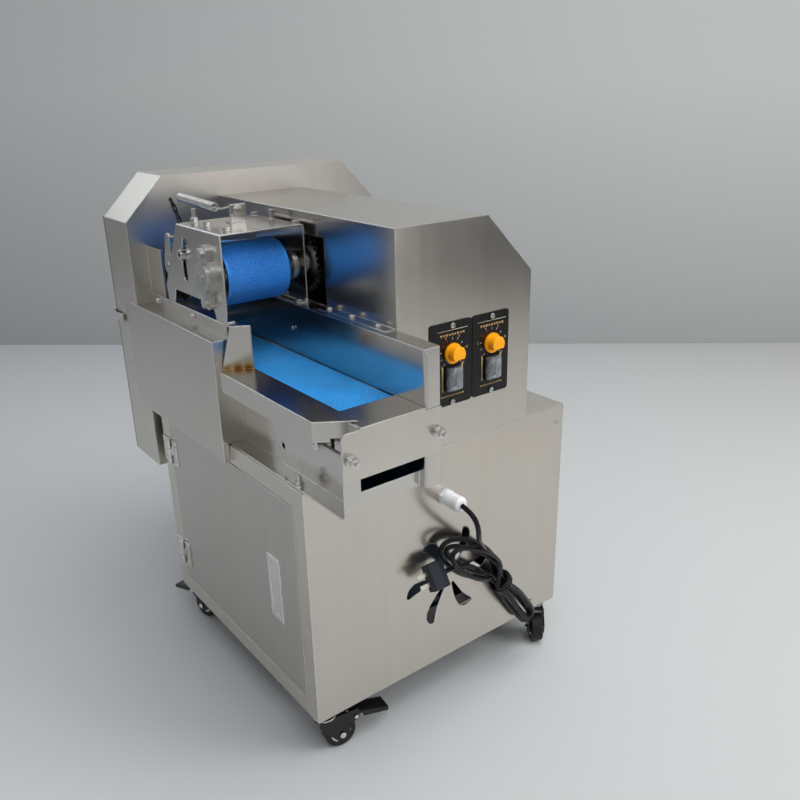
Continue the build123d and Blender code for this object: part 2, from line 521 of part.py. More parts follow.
# Control panels, their screws, knobs, switches
panels = []
bezels = []
for tag, x0, x1, x in (("left", 215.5, 293.8, KNOB_X[0]), ("right", 295.2, 367.0, KNOB_X[1])):
    panel = box(x0, x1, -PANEL_T, 0, KNOB_Z - 78, KNOB_Z + 46)
    corner = [e for e in panel.edges() if abs(e.center().Y + PANEL_T / 2) < 0.01]
    panel = panel.fillet(5.0, corner)
    panel = panel.cut(rod_y(x, -PANEL_T - 1, 1, KNOB_Z, 3.0 + FIT))
    panel = panel.cut(box(x - 11.2, x + 11.2, -PANEL_T - 1, 1, ROCK_Z - 15.6, ROCK_Z + 15.6))
    for z in (KNOB_Z - 73.5, KNOB_Z + 40.5):
        panel = panel.fuse(rod_y(x, -PANEL_T - 1.4, -PANEL_T, z, 3.0))
    panels.append(panel)
    knob = rod_y(x, -PANEL_T - 3.4, -PANEL_T - 0.4, KNOB_Z, 15.0)
    knob = knob.fuse(rod_y(x, -PANEL_T - 16, -PANEL_T - 3.4, KNOB_Z, 12.0))
    rim = [e for e in knob.edges() if e.center().Y < -PANEL_T - 15.9]
    knob = knob.fillet(1.5, rim)
    knob = knob.cut(box(x - 15, x + 15, -PANEL_T - 17, -PANEL_T - 4.6, KNOB_Z - 15, KNOB_Z - 6.5))
    knob = knob.fuse(rod_y(x, -PANEL_T - 0.4, 7, KNOB_Z, 3.0))
    node("knob_" + tag, knob)
    ROCK_Y = 1.5
    rocker = prism_x([(-8.0, ROCK_Z + 13.0), (-4.6, ROCK_Z), (-4.0, ROCK_Z - 13.6), (6, ROCK_Z - 11),
                      (8, ROCK_Z), (6, ROCK_Z + 11), (-1.0, ROCK_Z + 14.0)], x - 10.0, x + 10.0)
    rocker = rocker.cut(rod_x(x - 11, x + 11, ROCK_Y, ROCK_Z, 1.5 + FIT))
    node("rocker_" + tag, rocker)
    bezel = box(x - 13.5, x + 13.5, -PANEL_T - 2.4, -PANEL_T, ROCK_Z - 18, ROCK_Z + 18)
    bezel = bezel.fuse(box(x - 11.1, x + 11.1, -PANEL_T, 14, ROCK_Z - 15.5, ROCK_Z + 15.5))
    bezel = bezel.cut(box(x - 10.3, x + 10.3, -PANEL_T - 3, 12.5, ROCK_Z - 15.0, ROCK_Z + 15.0))
    bezel = bezel.fuse(rod_x(x - 10.3, x + 10.3, ROCK_Y, ROCK_Z, 1.5))
    bezels.append(bezel)
node("control_panels", Compound(panels))
node("rocker_frames", Compound(bezels))


def outline(inset):
    """Corner points of the head seen along Y, moved inward by inset."""
    c = inset * math.tan(math.radians(22.5))
    x0, x1, z0, z1 = HEAD_X0 + inset, HEAD_X1 - inset, HEAD_Z0 + inset, HEAD_Z1 - inset
    k = HEAD_CH - inset + c
    return [(x0, z0), (x1, z0), (x1, z1 - k), (x1 - k, z1), (x0 + k, z1), (x0, z1 - k)]


# Cutting head: near plate, band and rear flange, open at the bottom for the outlet
head = prism_y(outline(0), HEAD_Y, HEAD_Y1).cut(prism_y(outline(T2), HEAD_Y + T2, HEAD_Y1 - T2))
head = head.cut(prism_y(outline(10), HEAD_Y1 - T2 - 1, HEAD_Y1 + 1))
head = head.cut(box(HEAD_X0 + 12, HEAD_X1 - 12, HEAD_Y + 12, HEAD_Y1 - 12, HEAD_Z0 - 1, HEAD_Z0 + 8))
head = head.cut(box(BELT_X0, WALL_R, HEAD_Y - 1, HEAD_Y + T2 + 1, BELT_Z + 3, MOUTH_Z1))
head = head.cut(rod_y(AXLE_X, HEAD_Y - 1, HEAD_Y + T2 + 1, AXLE_Z, 15))
# channel between cabinet and head
chan = box(40, CAB_W - 40, CAB_D, HEAD_Y, CAB_H - 46, CAB_H - 6).cut(
    box(38, CAB_W - 38, CAB_D + T2, HEAD_Y - T2, CAB_H - 47, CAB_H - 8))
head = head.fuse(chan)
# catch for the clasp, and mouth guide plate on the near side
head = head.fuse(box(HEAD_X0 - 2.8, HEAD_X0, HEAD_Y1 - 26, HEAD_Y1 - 16, CLASP_Z - 5, CLASP_Z + 5))
head = head.fuse(box(21.5, 23.0, DRIVE_Y - 3, HEAD_Y, RAIL_TOP_L, DRUM_Z + 13))
head = head.fuse(box(23.0, 26.0, DRIVE_Y - 3, DRIVE_Y - 1.5, RAIL_TOP_L, DRUM_Z + 13))
node("head_shell", head)

# Seal between head and cover
seal = prism_y(outline(0.5), HEAD_Y1, HEAD_Y1 + SEAL_T).cut(
    prism_y(outline(8.5), HEAD_Y1 - 1, HEAD_Y1 + SEAL_T + 1))
node("seal", seal)

# Cover with a raised panel, grab handle, hinge wings and the lug of the clasp
COV_Y = HEAD_Y1 + SEAL_T
cover = prism_y(outline(0.5), COV_Y, COV_Y + T2)
raised = prism_y(outline(48), COV_Y + T2, COV_Y + 10).cut(
    prism_y(outline(50), COV_Y + T2 - 0.5, COV_Y + 8))
cover = cover.cut(prism_y(outline(50), COV_Y - 1, COV_Y + T2 + 1)).fuse(raised)
HANDLE_X, HANDLE_Z = 24.0, CLASP_Z
bar = FilletPolyline((HANDLE_X, COV_Y + T2, HANDLE_Z - 60), (HANDLE_X, Y_MAX - 5, HANDLE_Z - 60),
                     (HANDLE_X, Y_MAX - 5, HANDLE_Z + 60), (HANDLE_X, COV_Y + T2, HANDLE_Z + 60),
                     radius=14)
grip = sweep(Plane(origin=bar @ 0, z_dir=bar % 0) * Circle(5.0), path=bar)
cover = cover.fuse(grip.solids()[0])
CH_X, CH_Y, CH_R = HEAD_X1 + 5.0, COV_Y + T2 + 2.0, 4.0
leaves = []
for z in (HEAD_Z0 + 110.0, HEAD_Z1 - 121.0):
    third = 18.0
    lo, hi = z - 1.5 * third, z + 1.5 * third
    leaf = box(HEAD_X1, HEAD_X1 + 2, HEAD_Y1 - 34, CH_Y, lo, hi)
    leaf = leaf.cut(box(HEAD_X1 - 1, HEAD_X1 + 3, CH_Y - 6, CH_Y + 1, lo + third - 0.3, hi - third + 0.3))
    for a, b in ((lo, lo + third - 0.3), (hi - third + 0.3, hi)):
        leaf = leaf.fuse(rod_z(CH_X, CH_Y, a, b, CH_R))
    leaf = leaf.fuse(rod_z(CH_X, CH_Y, lo, hi, 1.8))
    for k in (-16.0, 16.0):
        leaf = leaf.fuse(rod_x(HEAD_X1 + 2, HEAD_X1 + 3.2, HEAD_Y1 - 20, z + k, 3.0))
    leaves.append(leaf)
    wing = box(HEAD_X1 - 28, CH_X, COV_Y + T2, CH_Y, lo + third, hi - third)
    wing = wing.fuse(box(HEAD_X1 - 28, HEAD_X1 - 1, COV_Y + T2, CH_Y, lo, hi))
    wing = wing.fuse(rod_z(CH_X, CH_Y, lo + third, hi - third, CH_R))
    wing = wing.cut(rod_z(CH_X, CH_Y, lo, hi, 1.8 + FIT))
    for k in (-16.0, 16.0):
        wing = wing.fuse(rod_y(HEAD_X1 - 16, CH_Y, CH_Y + 1.2, z + k, 3.0))
    cover = cover.fuse(wing)
node("cover_hinges", Compound(leaves))
CL_X, CL_Y, CL_R = X_MIN + 5.6, COV_Y + T2 + 4.0, 3.6
for a, b in ((CLASP_Z - 12.0, CLASP_Z - 7.3), (CLASP_Z + 7.3, CLASP_Z + 12.0)):
    cover = cover.fuse(box(CL_X, 8, COV_Y + T2, COV_Y + T2 + 2, a, b)).fuse(rod_z(CL_X, CL_Y, a, b, CL_R))
cover = cover.fuse(box(-5, 8, COV_Y + T2, COV_Y + T2 + 2, CLASP_Z - 12, CLASP_Z + 12))
cover = cover.fuse(rod_z(CL_X, CL_Y, CLASP_Z - 12, CLASP_Z + 12, 1.5))
node("head_cover", cover)
clasp = rod_z(CL_X, CL_Y, CLASP_Z - 7, CLASP_Z + 7, CL_R)
clasp = clasp.cut(rod_z(CL_X, CL_Y, CLASP_Z - 8, CLASP_Z + 8, 1.5 + FIT))
clasp = clasp.fuse(box(CL_X - CL_R, CL_X - 2.0, HEAD_Y1 - 30, CL_Y, CLASP_Z - 7, CLASP_Z + 7))
clasp = clasp.fuse(box(X_MIN, CL_X - 2.0, HEAD_Y1 - 38, HEAD_Y1 - 30, CLASP_Z - 7, CLASP_Z + 7))
node("cover_clasp", clasp)

# Blade rotor: hub, thin carrier disc and three sickle blades
rotor = rod_y(AXLE_X, HEAD_Y + 8, HEAD_Y + 44, AXLE_Z, 30)
for i in range(3):
    ang = 2 * math.pi * i / 3 + 0.5
    rim = []
    for k in range(13):
        f = k / 12
        rim.append((26 + (BLADE_R - 26) * f, 0.95 * f * f))
    for k in range(12, -1, -1):
        f = k / 12
        rim.append((26 + (BLADE_R - 30) * f, 0.95 * f * f + 0.95 - 0.68 * f))
    pts = [(AXLE_X + r * math.cos(ang + t), AXLE_Z + r * math.sin(ang + t)) for r, t in rim]
    rotor = rotor.fuse(prism_y(pts, HEAD_Y + 8, HEAD_Y + 12))
rotor = rotor.cut(rod_y(AXLE_X, HEAD_Y, HEAD_Y + 60, AXLE_Z, 12))
rotor = rotor.fuse(ring_y(AXLE_X, HEAD_Y + 12, HEAD_Y + 16, AXLE_Z, 92, 29))
node("blade_rotor", rotor)


def pulley_y(x, z, r, y0, y1):
    """Grooved V-belt pulley."""
    wheel = rod_y(x, y0, y1, z, r)
    return wheel.cut(ring_y(x, y0 + 6, y1 - 6, z, r + 1, r - 8))


shaft = rod_y(AXLE_X, VBELT_Y - 14, HEAD_Y + 48, AXLE_Z, 12)
shaft = shaft.fuse(pulley_y(AXLE_X, AXLE_Z, PULLEY_BLADE, VBELT_Y - 12, VBELT_Y + 12))
nut = [(AXLE_X + a, AXLE_Z + b) for a, b in hexagon(16, 0)]
shaft = shaft.fuse(prism_y(nut, HEAD_Y + 44, HEAD_Y + 54))
node("blade_shaft", shaft)

# Bearing stand on the deck
st0, st1, st_z = VBELT_Y + 22, HEAD_Y - 9, AXLE_Z - 36
stand = box(AXLE_X - 60, AXLE_X + 60, st0, st1, CAB_H, st_z)
stand = stand.cut(box(AXLE_X - 57, AXLE_X + 57, st0 - 1, st1 + 1, CAB_H - 1, st_z - 3))
stand = stand.fuse(box(AXLE_X - 76, AXLE_X - 60, st0, st1, CAB_H, CAB_H + 3))
stand = stand.fuse(box(AXLE_X + 60, AXLE_X + 76, st0, st1, CAB_H, CAB_H + 3))
for y in (st0 + 22, st1 - 22):
    stand = stand.fuse(box(AXLE_X - 52, AXLE_X + 52, y - 14, y + 14, st_z, st_z + 14))
    stand = stand.fuse(rod_y(AXLE_X, y - 14, y + 14, AXLE_Z, 32))
    for dx in (-43.0, 43.0):
        stand = stand.fuse(bolt_z(AXLE_X + dx, y, st_z + 14, 5.0, 7.0))
stand = stand.cut(rod_y(AXLE_X, st0 - 4, st1 + 2, AXLE_Z, 12 + FIT))
node("blade_bearings", stand)

# Main motor on the two rails of the cabinet floor
motor = rod_y(AXLE_X, 95, 268, MOTOR_Z, 76).fuse(rod_y(AXLE_X, 268, 288, MOTOR_Z, 58))
motor = motor.fuse(rod_y(AXLE_X, 62, 95, MOTOR_Z, 80)).fuse(box(285, 345, 140, 210, MOTOR_Z, 235))
motor = motor.fuse(box(AXLE_X - 66, AXLE_X + 66, 95, 255, 24, 36))
motor = motor.fuse(box(AXLE_X - 50, AXLE_X - 38, 100, 250, 36, 120))
motor = motor.fuse(box(AXLE_X + 38, AXLE_X + 50, 100, 250, 36, 120))
motor = motor.cut(rod_y(AXLE_X, 236, 290, MOTOR_Z, 12 + FIT))
node("main_motor", motor)
drivep = pulley_y(AXLE_X, MOTOR_Z, PULLEY_MOTOR, VBELT_Y - 12, VBELT_Y + 12)
drivep = drivep.fuse(rod_y(AXLE_X, 240, VBELT_Y + 16, MOTOR_Z, 12))
node("motor_pulley", drivep)
vb = band_x([(-AXLE_X, AXLE_Z, PULLEY_BLADE - 8), (-AXLE_X, MOTOR_Z, PULLEY_MOTOR - 8)],
            VBELT_Y - 5.6, VBELT_Y + 5.6, 9.0, RUN).rotate(Axis.Z, 90)
node("v_belt", vb)

# Press unit. Gantry: bent plate over the throat with an arc slot for the guide pin
SLOT_R = math.hypot(PIN_Y - DRUM_Y, PIN_Z - DRUM_Z)
PIN_A = math.degrees(math.atan2(PIN_Z - DRUM_Z, PIN_Y - DRUM_Y))
gx0, gx1 = GANTRY_X0, GANTRY_X1
GUS_Z = RAIL_TOP_R + 14.0
gan = box(gx0, gx1, GANTRY_Y0, GANTRY_Y1, RAIL_TOP_R, GANTRY_Z)
gan = gan.fillet(3.0, [e for e in gan.edges() if abs(e.center().Z - GANTRY_Z) < 0.01 and
                       abs(e.center().Y - (GANTRY_Y0 + GANTRY_Y1) / 2) < 0.01])
gan = gan.cut(box(gx0 + T2, gx1 - T2, GANTRY_Y0 - 1, GANTRY_Y1 + 1, RAIL_TOP_R - 1, GANTRY_Z - T2))
gan = gan.cut(box(gx0 - 1, gx0 + T2 + 1, GANTRY_Y0 - 1, GANTRY_Y1 + 1, RAIL_TOP_R - 1, GUS_Z + 20))
gan = gan.fuse(prism_x([(GANTRY_Y0, GUS_Z), (210, RAIL_TOP_L), (240, RAIL_TOP_L), (248, GUS_Z),
                        (380, GUS_Z), (388, RAIL_TOP_L), (412, RAIL_TOP_L), (415, GUS_Z + 2),
                        (GANTRY_Y1, GANTRY_Z),
                        (GANTRY_Y1, GANTRY_Z - 4), (GANTRY_Y0, GANTRY_Z - 4)], gx0, gx0 + T2))
gan = gan.fuse(box(137, gx1 - T2, GANTRY_Y0 + 8, GANTRY_Y1 - 8, RAIL_TOP_R, RAIL_TOP_R + T2))
for y0, y1 in ((212, 238), (390, 410)):
    gan = gan.fuse(box(gx0 + T2, 31, y0, y1, RAIL_TOP_L, RAIL_TOP_L + T2))
    gan = gan.fuse(bolt_z(21.4, (y0 + y1) / 2, RAIL_TOP_L + T2, 2.5, 3.5))
for y in (222.0, 280.0, 334.0):
    gan = gan.fuse(bolt_z(142, y, RAIL_TOP_R + T2, 3.0, 4.0))
a0, a1 = math.radians(-7.4), math.radians(28.1)


def at_slot(r, a):
    return (gx0 - 1, DRUM_Y + r * math.cos(a), DRUM_Z + r * math.sin(a))


ro, ri = SLOT_R + PIN_R + 0.5, SLOT_R - PIN_R - 0.5
slot = Wire([Edge.make_three_point_arc(at_slot(ro, a0), at_slot(ro, (a0 + a1) / 2), at_slot(ro, a1)),
             Edge.make_line(at_slot(ro, a1), at_slot(ri, a1)),
             Edge.make_three_point_arc(at_slot(ri, a1), at_slot(ri, (a0 + a1) / 2), at_slot(ri, a0)),
             Edge.make_line(at_slot(ri, a0), at_slot(ro, a0))])
gan = gan.cut(Solid.extrude(Face(slot), Vector(T2 + 2, 0, 0)))
for a in (a0, a1):
    p = at_slot(SLOT_R, a)
    gan = gan.cut(rod_x(gx0 - 1, gx0 + T2 + 1, p[1], p[2], PIN_R + 0.5))
gan = gan.cut(rod_x(gx0 - 1, gx1 + 1, DRUM_Y, DRUM_Z, 11))
# tab for the spring, set screws on top
TAB_Y = 290.0
gan = gan.fuse(box(77, 103, TAB_Y, TAB_Y + T2, GANTRY_Z, GANTRY_Z + 27)).fuse(
    box(77, 103, TAB_Y + T2, TAB_Y + 18, GANTRY_Z, GANTRY_Z + T2))
gan = gan.fuse(bolt_y(90, TAB_Y, GANTRY_Z + 18, 3.4, 5.0, -1)).fuse(bolt_z(90, TAB_Y + 11, GANTRY_Z + T2, 3.0, 4.0))
for x, y, h in ((42, 234, 5.0), (42, 297, 5.0), (42, 340, 7.0), (143, 215, 5.0), (143, 340, 5.0)):
    gan = gan.fuse(bolt_z(x, y, GANTRY_Z, 4.2, h))
gan = gan.fuse(rod_z(42, 340, GANTRY_Z, GANTRY_Z + 20, 3.6)).fuse(rod_z(143, 287, GANTRY_Z, GANTRY_Z + 14, 4.0))
node("gantry", gan)


def oval_flange(x0, x1, spread, rb, rc):
    """Two-bolt flange plate standing across X."""
    return loop_x([(DRUM_Y, DRUM_Z - spread, rc), (DRUM_Y, DRUM_Z + spread, rc + 0.0001)], x0, x1).fuse(
        rod_x(x0, x1, DRUM_Y, DRUM_Z, rb))


# Flange bearings of the press drum, one on each gantry plate
left = oval_flange(gx0 - 6, gx0, 36, 26, 11).fuse(rod_x(gx0 - 13, gx0 - 6, DRUM_Y, DRUM_Z, 23))
left = left.cut(rod_x(gx0 - 14, gx0 + 1, DRUM_Y, DRUM_Z, SHAFT_R + FIT))
for z in (DRUM_Z - 36, DRUM_Z + 36):
    left = left.fuse(bolt_x(gx0 - 6, DRUM_Y, z, 5.0, 7.0, -1))
right = oval_flange(gx1, gx1 + 6, 36, 26, 11).fuse(rod_x(gx1 + 6, gx1 + 17, DRUM_Y, DRUM_Z, 23))
right = right.cut(rod_x(gx1 - 1, gx1 + 18, DRUM_Y, DRUM_Z, SHAFT_R + FIT))
inner = ring_x(gx1 - T2 - 4, gx1 - T2, DRUM_Y, DRUM_Z, 23, 12)
node("press_bearings", Compound([left, right, inner]))

# Front drum of the press with shaft and chain wheel
drum = rod_x(PRESS_X0 + 1.5, PRESS_X1 - 1.5, DRUM_Y, DRUM_Z, DRUM_R)
drum = drum.cut(rod_x(PRESS_X0 + 6, PRESS_X1 - 6, DRUM_Y, DRUM_Z, DRUM_R - 3))
drum = drum.fuse(rod_x(gx0 - 15, GEAR_X + 8, DRUM_Y, DRUM_Z, SHAFT_R))
MESH = math.atan2(COUNTER_Z - DRUM_Z, COUNTER_Y - DRUM_Y)
drum = drum.fuse(gear_x(DRUM_Y, DRUM_Z, GEAR_N, GEAR_M, GEAR_X, GEAR_X + 6, MESH))
drum = drum.fuse(rod_x(gx1 + 18, GEAR_X, DRUM_Y, DRUM_Z, 16))
node("press_drum", drum)

# Counter gear on its stub axle, turned by the second chain of the drive roller
counter = gear_x(COUNTER_Y, COUNTER_Z, GEAR_N, GEAR_M, GEAR_X, GEAR_X + 6,
                 MESH + math.pi + math.pi / GEAR_N)
counter = counter.fuse(sprocket_x(COUNTER_Y, COUNTER_Z, TEETH_PRESS, CHAIN2_X - 2.6, CHAIN2_X + 2.6, 16,
                                  CHAIN2_X - 2.6, GEAR_X, 6))
counter = counter.cut(rod_x(CHAIN2_X - 4, GEAR_X + 7, COUNTER_Y, COUNTER_Z, 7 + FIT))
node("counter_gear", counter)

press_chain = chain_x((DRIVE_Y, ROLL_Z, pitch_radius(TEETH_FEED)),
                      (COUNTER_Y, COUNTER_Z, pitch_radius(TEETH_PRESS)), CHAIN2_X)
node("press_chain", press_chain)

# Swing arms with cross bar, guide pin and lug for the chain
LUG_Y, LUG_Z = REAR_Y - 8.0, REAR_Z + 44.0
ARM_L, ARM_R = 20.5, 128.0
arm = loop_x([(DRUM_Y, DRUM_Z, 20), (REAR_Y, REAR_Z, 14)], ARM_L, ARM_L + 3.5)
arm = arm.fuse(loop_x([(DRUM_Y, DRUM_Z, 20), (PIN_Y, PIN_Z, 13)], ARM_L, ARM_L + 3.5))
arm = arm.fuse(loop_x([(REAR_Y, REAR_Z, 14), (LUG_Y, LUG_Z, 8)], ARM_L, ARM_L + 3.5))
arm = arm.fuse(loop_x([(DRUM_Y, DRUM_Z, 20), (REAR_Y, REAR_Z, 14)], ARM_R, ARM_R + 3.5))
arm = arm.fuse(rod_x(ARM_L, ARM_R + 3.5, (DRUM_Y + REAR_Y) / 2 - 1, DRUM_Z - 4, 8))
arm = arm.cut(rod_x(0, 160, DRUM_Y, DRUM_Z, SHAFT_R + FIT)).cut(rod_x(0, 160, REAR_Y, REAR_Z, 6 + FIT))
arm = arm.fuse(rod_x(8, ARM_L, PIN_Y, PIN_Z, PIN_R)).cut(rod_x(7, 18, PIN_Y, PIN_Z, 4.5))
arm = arm.fuse(rod_x(ARM_L + 3.5, 43.4, LUG_Y, LUG_Z, 3.0))
node("press_arm", arm)

rear = rod_x(PRESS_X0 + 1.5, PRESS_X1 - 1.5, REAR_Y, REAR_Z, REAR_R)
rear = rear.cut(rod_x(PRESS_X0 + 6, PRESS_X1 - 6, REAR_Y, REAR_Z, REAR_R - 3))
rear = rear.fuse(rod_x(ARM_L - 1.5, ARM_R + 5, REAR_Y, REAR_Z, 6))
node("press_rear_roller", rear)
pbelt = band_x([(DRUM_Y, DRUM_Z, DRUM_R), (REAR_Y, REAR_Z, REAR_R)], PRESS_X0, PRESS_X1,
               BELT_T + RUN, RUN)
node("press_belt", pbelt)

# Tension spring from the tab to the chain of the arm
SPRING_A = Vector(72, TAB_Y + 38, GANTRY_Z + 20)
SPRING_B = Vector(59.5, LUG_Y + 23, LUG_Z + 57)
axis = (SPRING_B - SPRING_A).normalized()
coil = Solid.make_cylinder(7.0, (SPRING_B - SPRING_A).length, Plane(SPRING_A, z_dir=axis))
hook_a = Vector(84, TAB_Y + 8, GANTRY_Z + 19)
lead = (SPRING_A - hook_a)
coil = coil.fuse(Solid.make_cylinder(2.0, lead.length + 2, Plane(hook_a, z_dir=lead.normalized())))
coil = coil.fuse(rod_y(84, TAB_Y + T2, TAB_Y + 9, GANTRY_Z + 19, 2.6))
coil = coil.fuse(Solid.make_cylinder(2.0, 10, Plane(SPRING_B, z_dir=axis)))
node("spring", coil)

# Short roller chain from the lug to the spring
LINKS = 7
knots = []
for i in range(LINKS):
    f = i / (LINKS - 1)
    knots.append((LUG_Y + 34 * f - 8 * math.sin(math.pi * f), LUG_Z + 55 * f))
links = None
for i in range(LINKS - 1):
    (ya, za), (yb, zb) = knots[i], knots[i + 1]
    o, w = (43.6, 50.2) if i % 2 else (45.2, 48.6)
    for x0 in (o, w - 1.4):
        plate = loop_x([(ya, za, 4.0), (yb, zb, 4.0001)], x0, x0 + 1.4)
        links = plate if links is None else links.fuse(plate)
for ya, za in knots:
    links = links.fuse(rod_x(43.6, 50.2, ya, za, 1.8)).fuse(rod_x(46.6, 47.2, ya, za, 3.2))
node("tension_chain", links)

# Casters: fixed plates, swivel forks, wheels, brake pedals
plates = []
for name, x, y, heading in CASTERS:
    plate = box(x - 22, x + 22, y - 22, y + 22, -3, 0).fuse(rod_z(x, y, -9, -3, 17))
    plates.append(plate.fuse(rod_z(x, y, -14, -9, 4.0)))
    turn = Location((x, y, 0), (0, 0, heading))
    fork = rod_z(0, 0, -17, -9.3, 18).fuse(box(-14, 24, -14.5, 14.5, -17, -13))
    for side in (-1, 1):
        lo = 12.0 if side > 0 else -14.5
        cheek = [(-14, -13), (24, -13), (34, -40), (34, -56), (27, -61), (16, -61), (10, -54), (-14, -24)]
        if name in BRAKED:
            cheek = [(-14, -13), (50, -13), (52, -30), (46, -33), (36, -38), (34, -56), (27, -61),
                     (16, -61), (10, -54), (-14, -24)]
        fork = fork.fuse(prism_y(cheek, lo, lo + 2.5))
    fork = fork.fuse(rod_y(TRAIL, -16, 16, WHEEL_R - FLOOR, 4.0))
    if name in BRAKED:
        fork = fork.fuse(rod_y(46, -16, 16, -26, 2.0))
    fork = fork.cut(rod_z(0, 0, -14.2, -9, 4.0 + FIT))
    node("fork_" + name, fork.moved(turn))
    wheel = rod_y(TRAIL, -WHEEL_T / 2, WHEEL_T / 2, WHEEL_R - FLOOR, WHEEL_R)
    lips = [e for e in wheel.edges() if e.length > 100]
    wheel = wheel.fillet(3.0, lips)
    for lo, hi in ((-11, -7), (7, 11)):
        wheel = wheel.cut(ring_y(TRAIL, lo, hi, WHEEL_R - FLOOR, 17, 9))
    wheel = wheel.cut(rod_y(TRAIL, -12, 12, WHEEL_R - FLOOR, 4.0 + FIT))
    node("wheel_" + name, wheel.moved(turn))
    if name in BRAKED:
        pedal = prism_y([(44, -20.5), (52, -21.5), (60, -24), (103, -35), (102.4, -38), (58, -27.5),
                         (50, -26), (44, -25)], -11.5, 11.5)
        pedal = pedal.fuse(rod_y(46, -11.5, 11.5, -26, 5.0))
        for lo in (-13.0, 11.5):
            pedal = pedal.fuse(prism_y([(56, -22), (103, -34), (101.6, -41), (60, -33)], lo, lo + 1.5))
        pedal = pedal.cut(rod_y(46, -12, 12, -26, 2.0 + FIT))
        node("pedal_" + name, pedal.moved(turn))
node("caster_plates", Compound(plates))

# Cable gland in the near face
gland = rod_y(GLAND[0], -34, 10, GLAND[1], 8.4).fuse(
    prism_y([(GLAND[0] + a, GLAND[1] + b) for a, b in hexagon(14, 30)], -6, 0))
gland = gland.fuse(prism_y([(GLAND[0] + a, GLAND[1] + b) for a, b in hexagon(13, 30)], T2, T2 + 5))
cap = rod_y(GLAND[0], -38, -6.5, GLAND[1], 12)
cap = cap.fillet(5.0, [e for e in cap.edges() if e.center().Y < -37.9])
gland = gland.fuse(cap).fuse(rod_y(GLAND[0], -6.5, -6, GLAND[1], 10))
node("cable_gland", gland)

# Cord: straight runs with tangent arcs, dia 8
CORD_D = 8.0
gl_x, gl_z = GLAND
route = [(gl_x, -38.8, gl_z), (gl_x + 0.5, -60, gl_z - 4), (gl_x + 2.5, -72, gl_z - 23),
         (gl_x + 12, -62, gl_z - 52), (gl_x + 42, -38, gl_z - 86)]


def bend_radii(points):
    radii = []
    for a, b, c in zip(points, points[1:], points[2:]):
        u, v = Vector(*b) - Vector(*a), Vector(*c) - Vector(*b)
        turn = math.radians(u.get_angle(v))
        radii.append(min(60.0, 0.45 * min(u.length, v.length) / math.tan(turn / 2)))
    return radii


CORD_R = bend_radii(route)
path = FilletPolyline(*route, radius=CORD_R)
tube = sweep(Plane(origin=path @ 0, z_dir=path % 0) * Circle(CORD_D / 2), path=path)
node("cord", tube.solids()[0])
print("cord length", round(path.length, 1), "radii", [round(r, 1) for r in CORD_R],
      "volume ratio", round(tube.volume / (path.length * math.pi * CORD_D ** 2 / 4), 4))

# Coiled rest of the cord: closed ring, tie and hanging bundle
HANK_C = (gl_x + 38.0, gl_z - 117.0)
HANK_A = math.radians(-37)


def oval_y(a, b, y0, y1):
    face = Plane(origin=(HANK_C[0], y0, HANK_C[1]), x_dir=(math.cos(HANK_A), 0, math.sin(HANK_A)),
                 z_dir=(0, 1, 0)) * Ellipse(a, b)
    return Solid.extrude(face.faces()[0], Vector(0, y1 - y0, 0))


hank = oval_y(73, 29, -32, -8).cut(oval_y(43, 9, -33, -7))
tail = ((94, -193), (108, -179), (138, -205), (160, -235), (180, -271), (181, -281), (170, -290),
        (158, -294), (141, -279), (118, -246), (101, -219))
hank = hank.fuse(prism_y([(gl_x + a, gl_z + b) for a, b in tail], -32, -8))
tie_dir = Vector(63, 0, -89).normalized()
tie_at = Vector(gl_x + 99, -20.5, gl_z - 180) - tie_dir * 17
hank = hank.fuse(Solid.make_cylinder(19.0, 24, Plane(tie_at, z_dir=tie_dir)))
tip, prev = Vector(*route[-1]), Vector(*route[-2])
hank = hank.fuse(Solid.make_cylinder(CORD_D / 2, 16, Plane(tip, z_dir=(tip - prev).normalized())))
PLUG_X, PLUG_Y, PLUG_Z = gl_x - 24.0, -24.0, gl_z - 111.0
hank = hank.fuse(rod_x(PLUG_X, PLUG_X + 22, PLUG_Y, PLUG_Z, CORD_D / 2))
node("cord_hank", hank)

# Moulded plug with two flat pins, lying against the hank
lean = Location((0, PLUG_Y, PLUG_Z), (-32, 0, 0))
PLUG_L = 30.0
shell = prism_z([(PLUG_X - PLUG_L, -10), (PLUG_X - 10, -10), (PLUG_X, -7), (PLUG_X, 7), (PLUG_X - 10, 10),
                 (PLUG_X - PLUG_L, 10)], -20, 20)
shell = shell.fillet(3.0, [e for e in shell.edges() if abs(e.center().Z) < 0.1 and e.center().X < PLUG_X - 20])
for dz in (-8.0, 8.0):
    shell = shell.fuse(box(PLUG_X - PLUG_L - 18, PLUG_X - PLUG_L, -0.9, 0.9, dz - 3.2, dz + 3.2))
node("plug", shell.moved(lean))

lows = [1e9] * 3
highs = [-1e9] * 3
for name, shape in NODES.items():
    moved = shape.moved(Location(SHIFT))
    export_step(moved, "parts/" + name + ".step")
    bb = moved.bounding_box()
    for i, (p, q) in enumerate(zip((bb.min.X, bb.min.Y, bb.min.Z), (bb.max.X, bb.max.Y, bb.max.Z))):
        lows[i] = min(lows[i], p)
        highs[i] = max(highs[i], q)
    print(name, len(shape.solids()), "solids", round(shape.volume))
print(len(NODES), "nodes, from", [round(v, 2) for v in lows], "to", [round(v, 2) for v in highs])
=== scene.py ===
import math

import bmesh
import bpy
from mathutils import Matrix, Vector


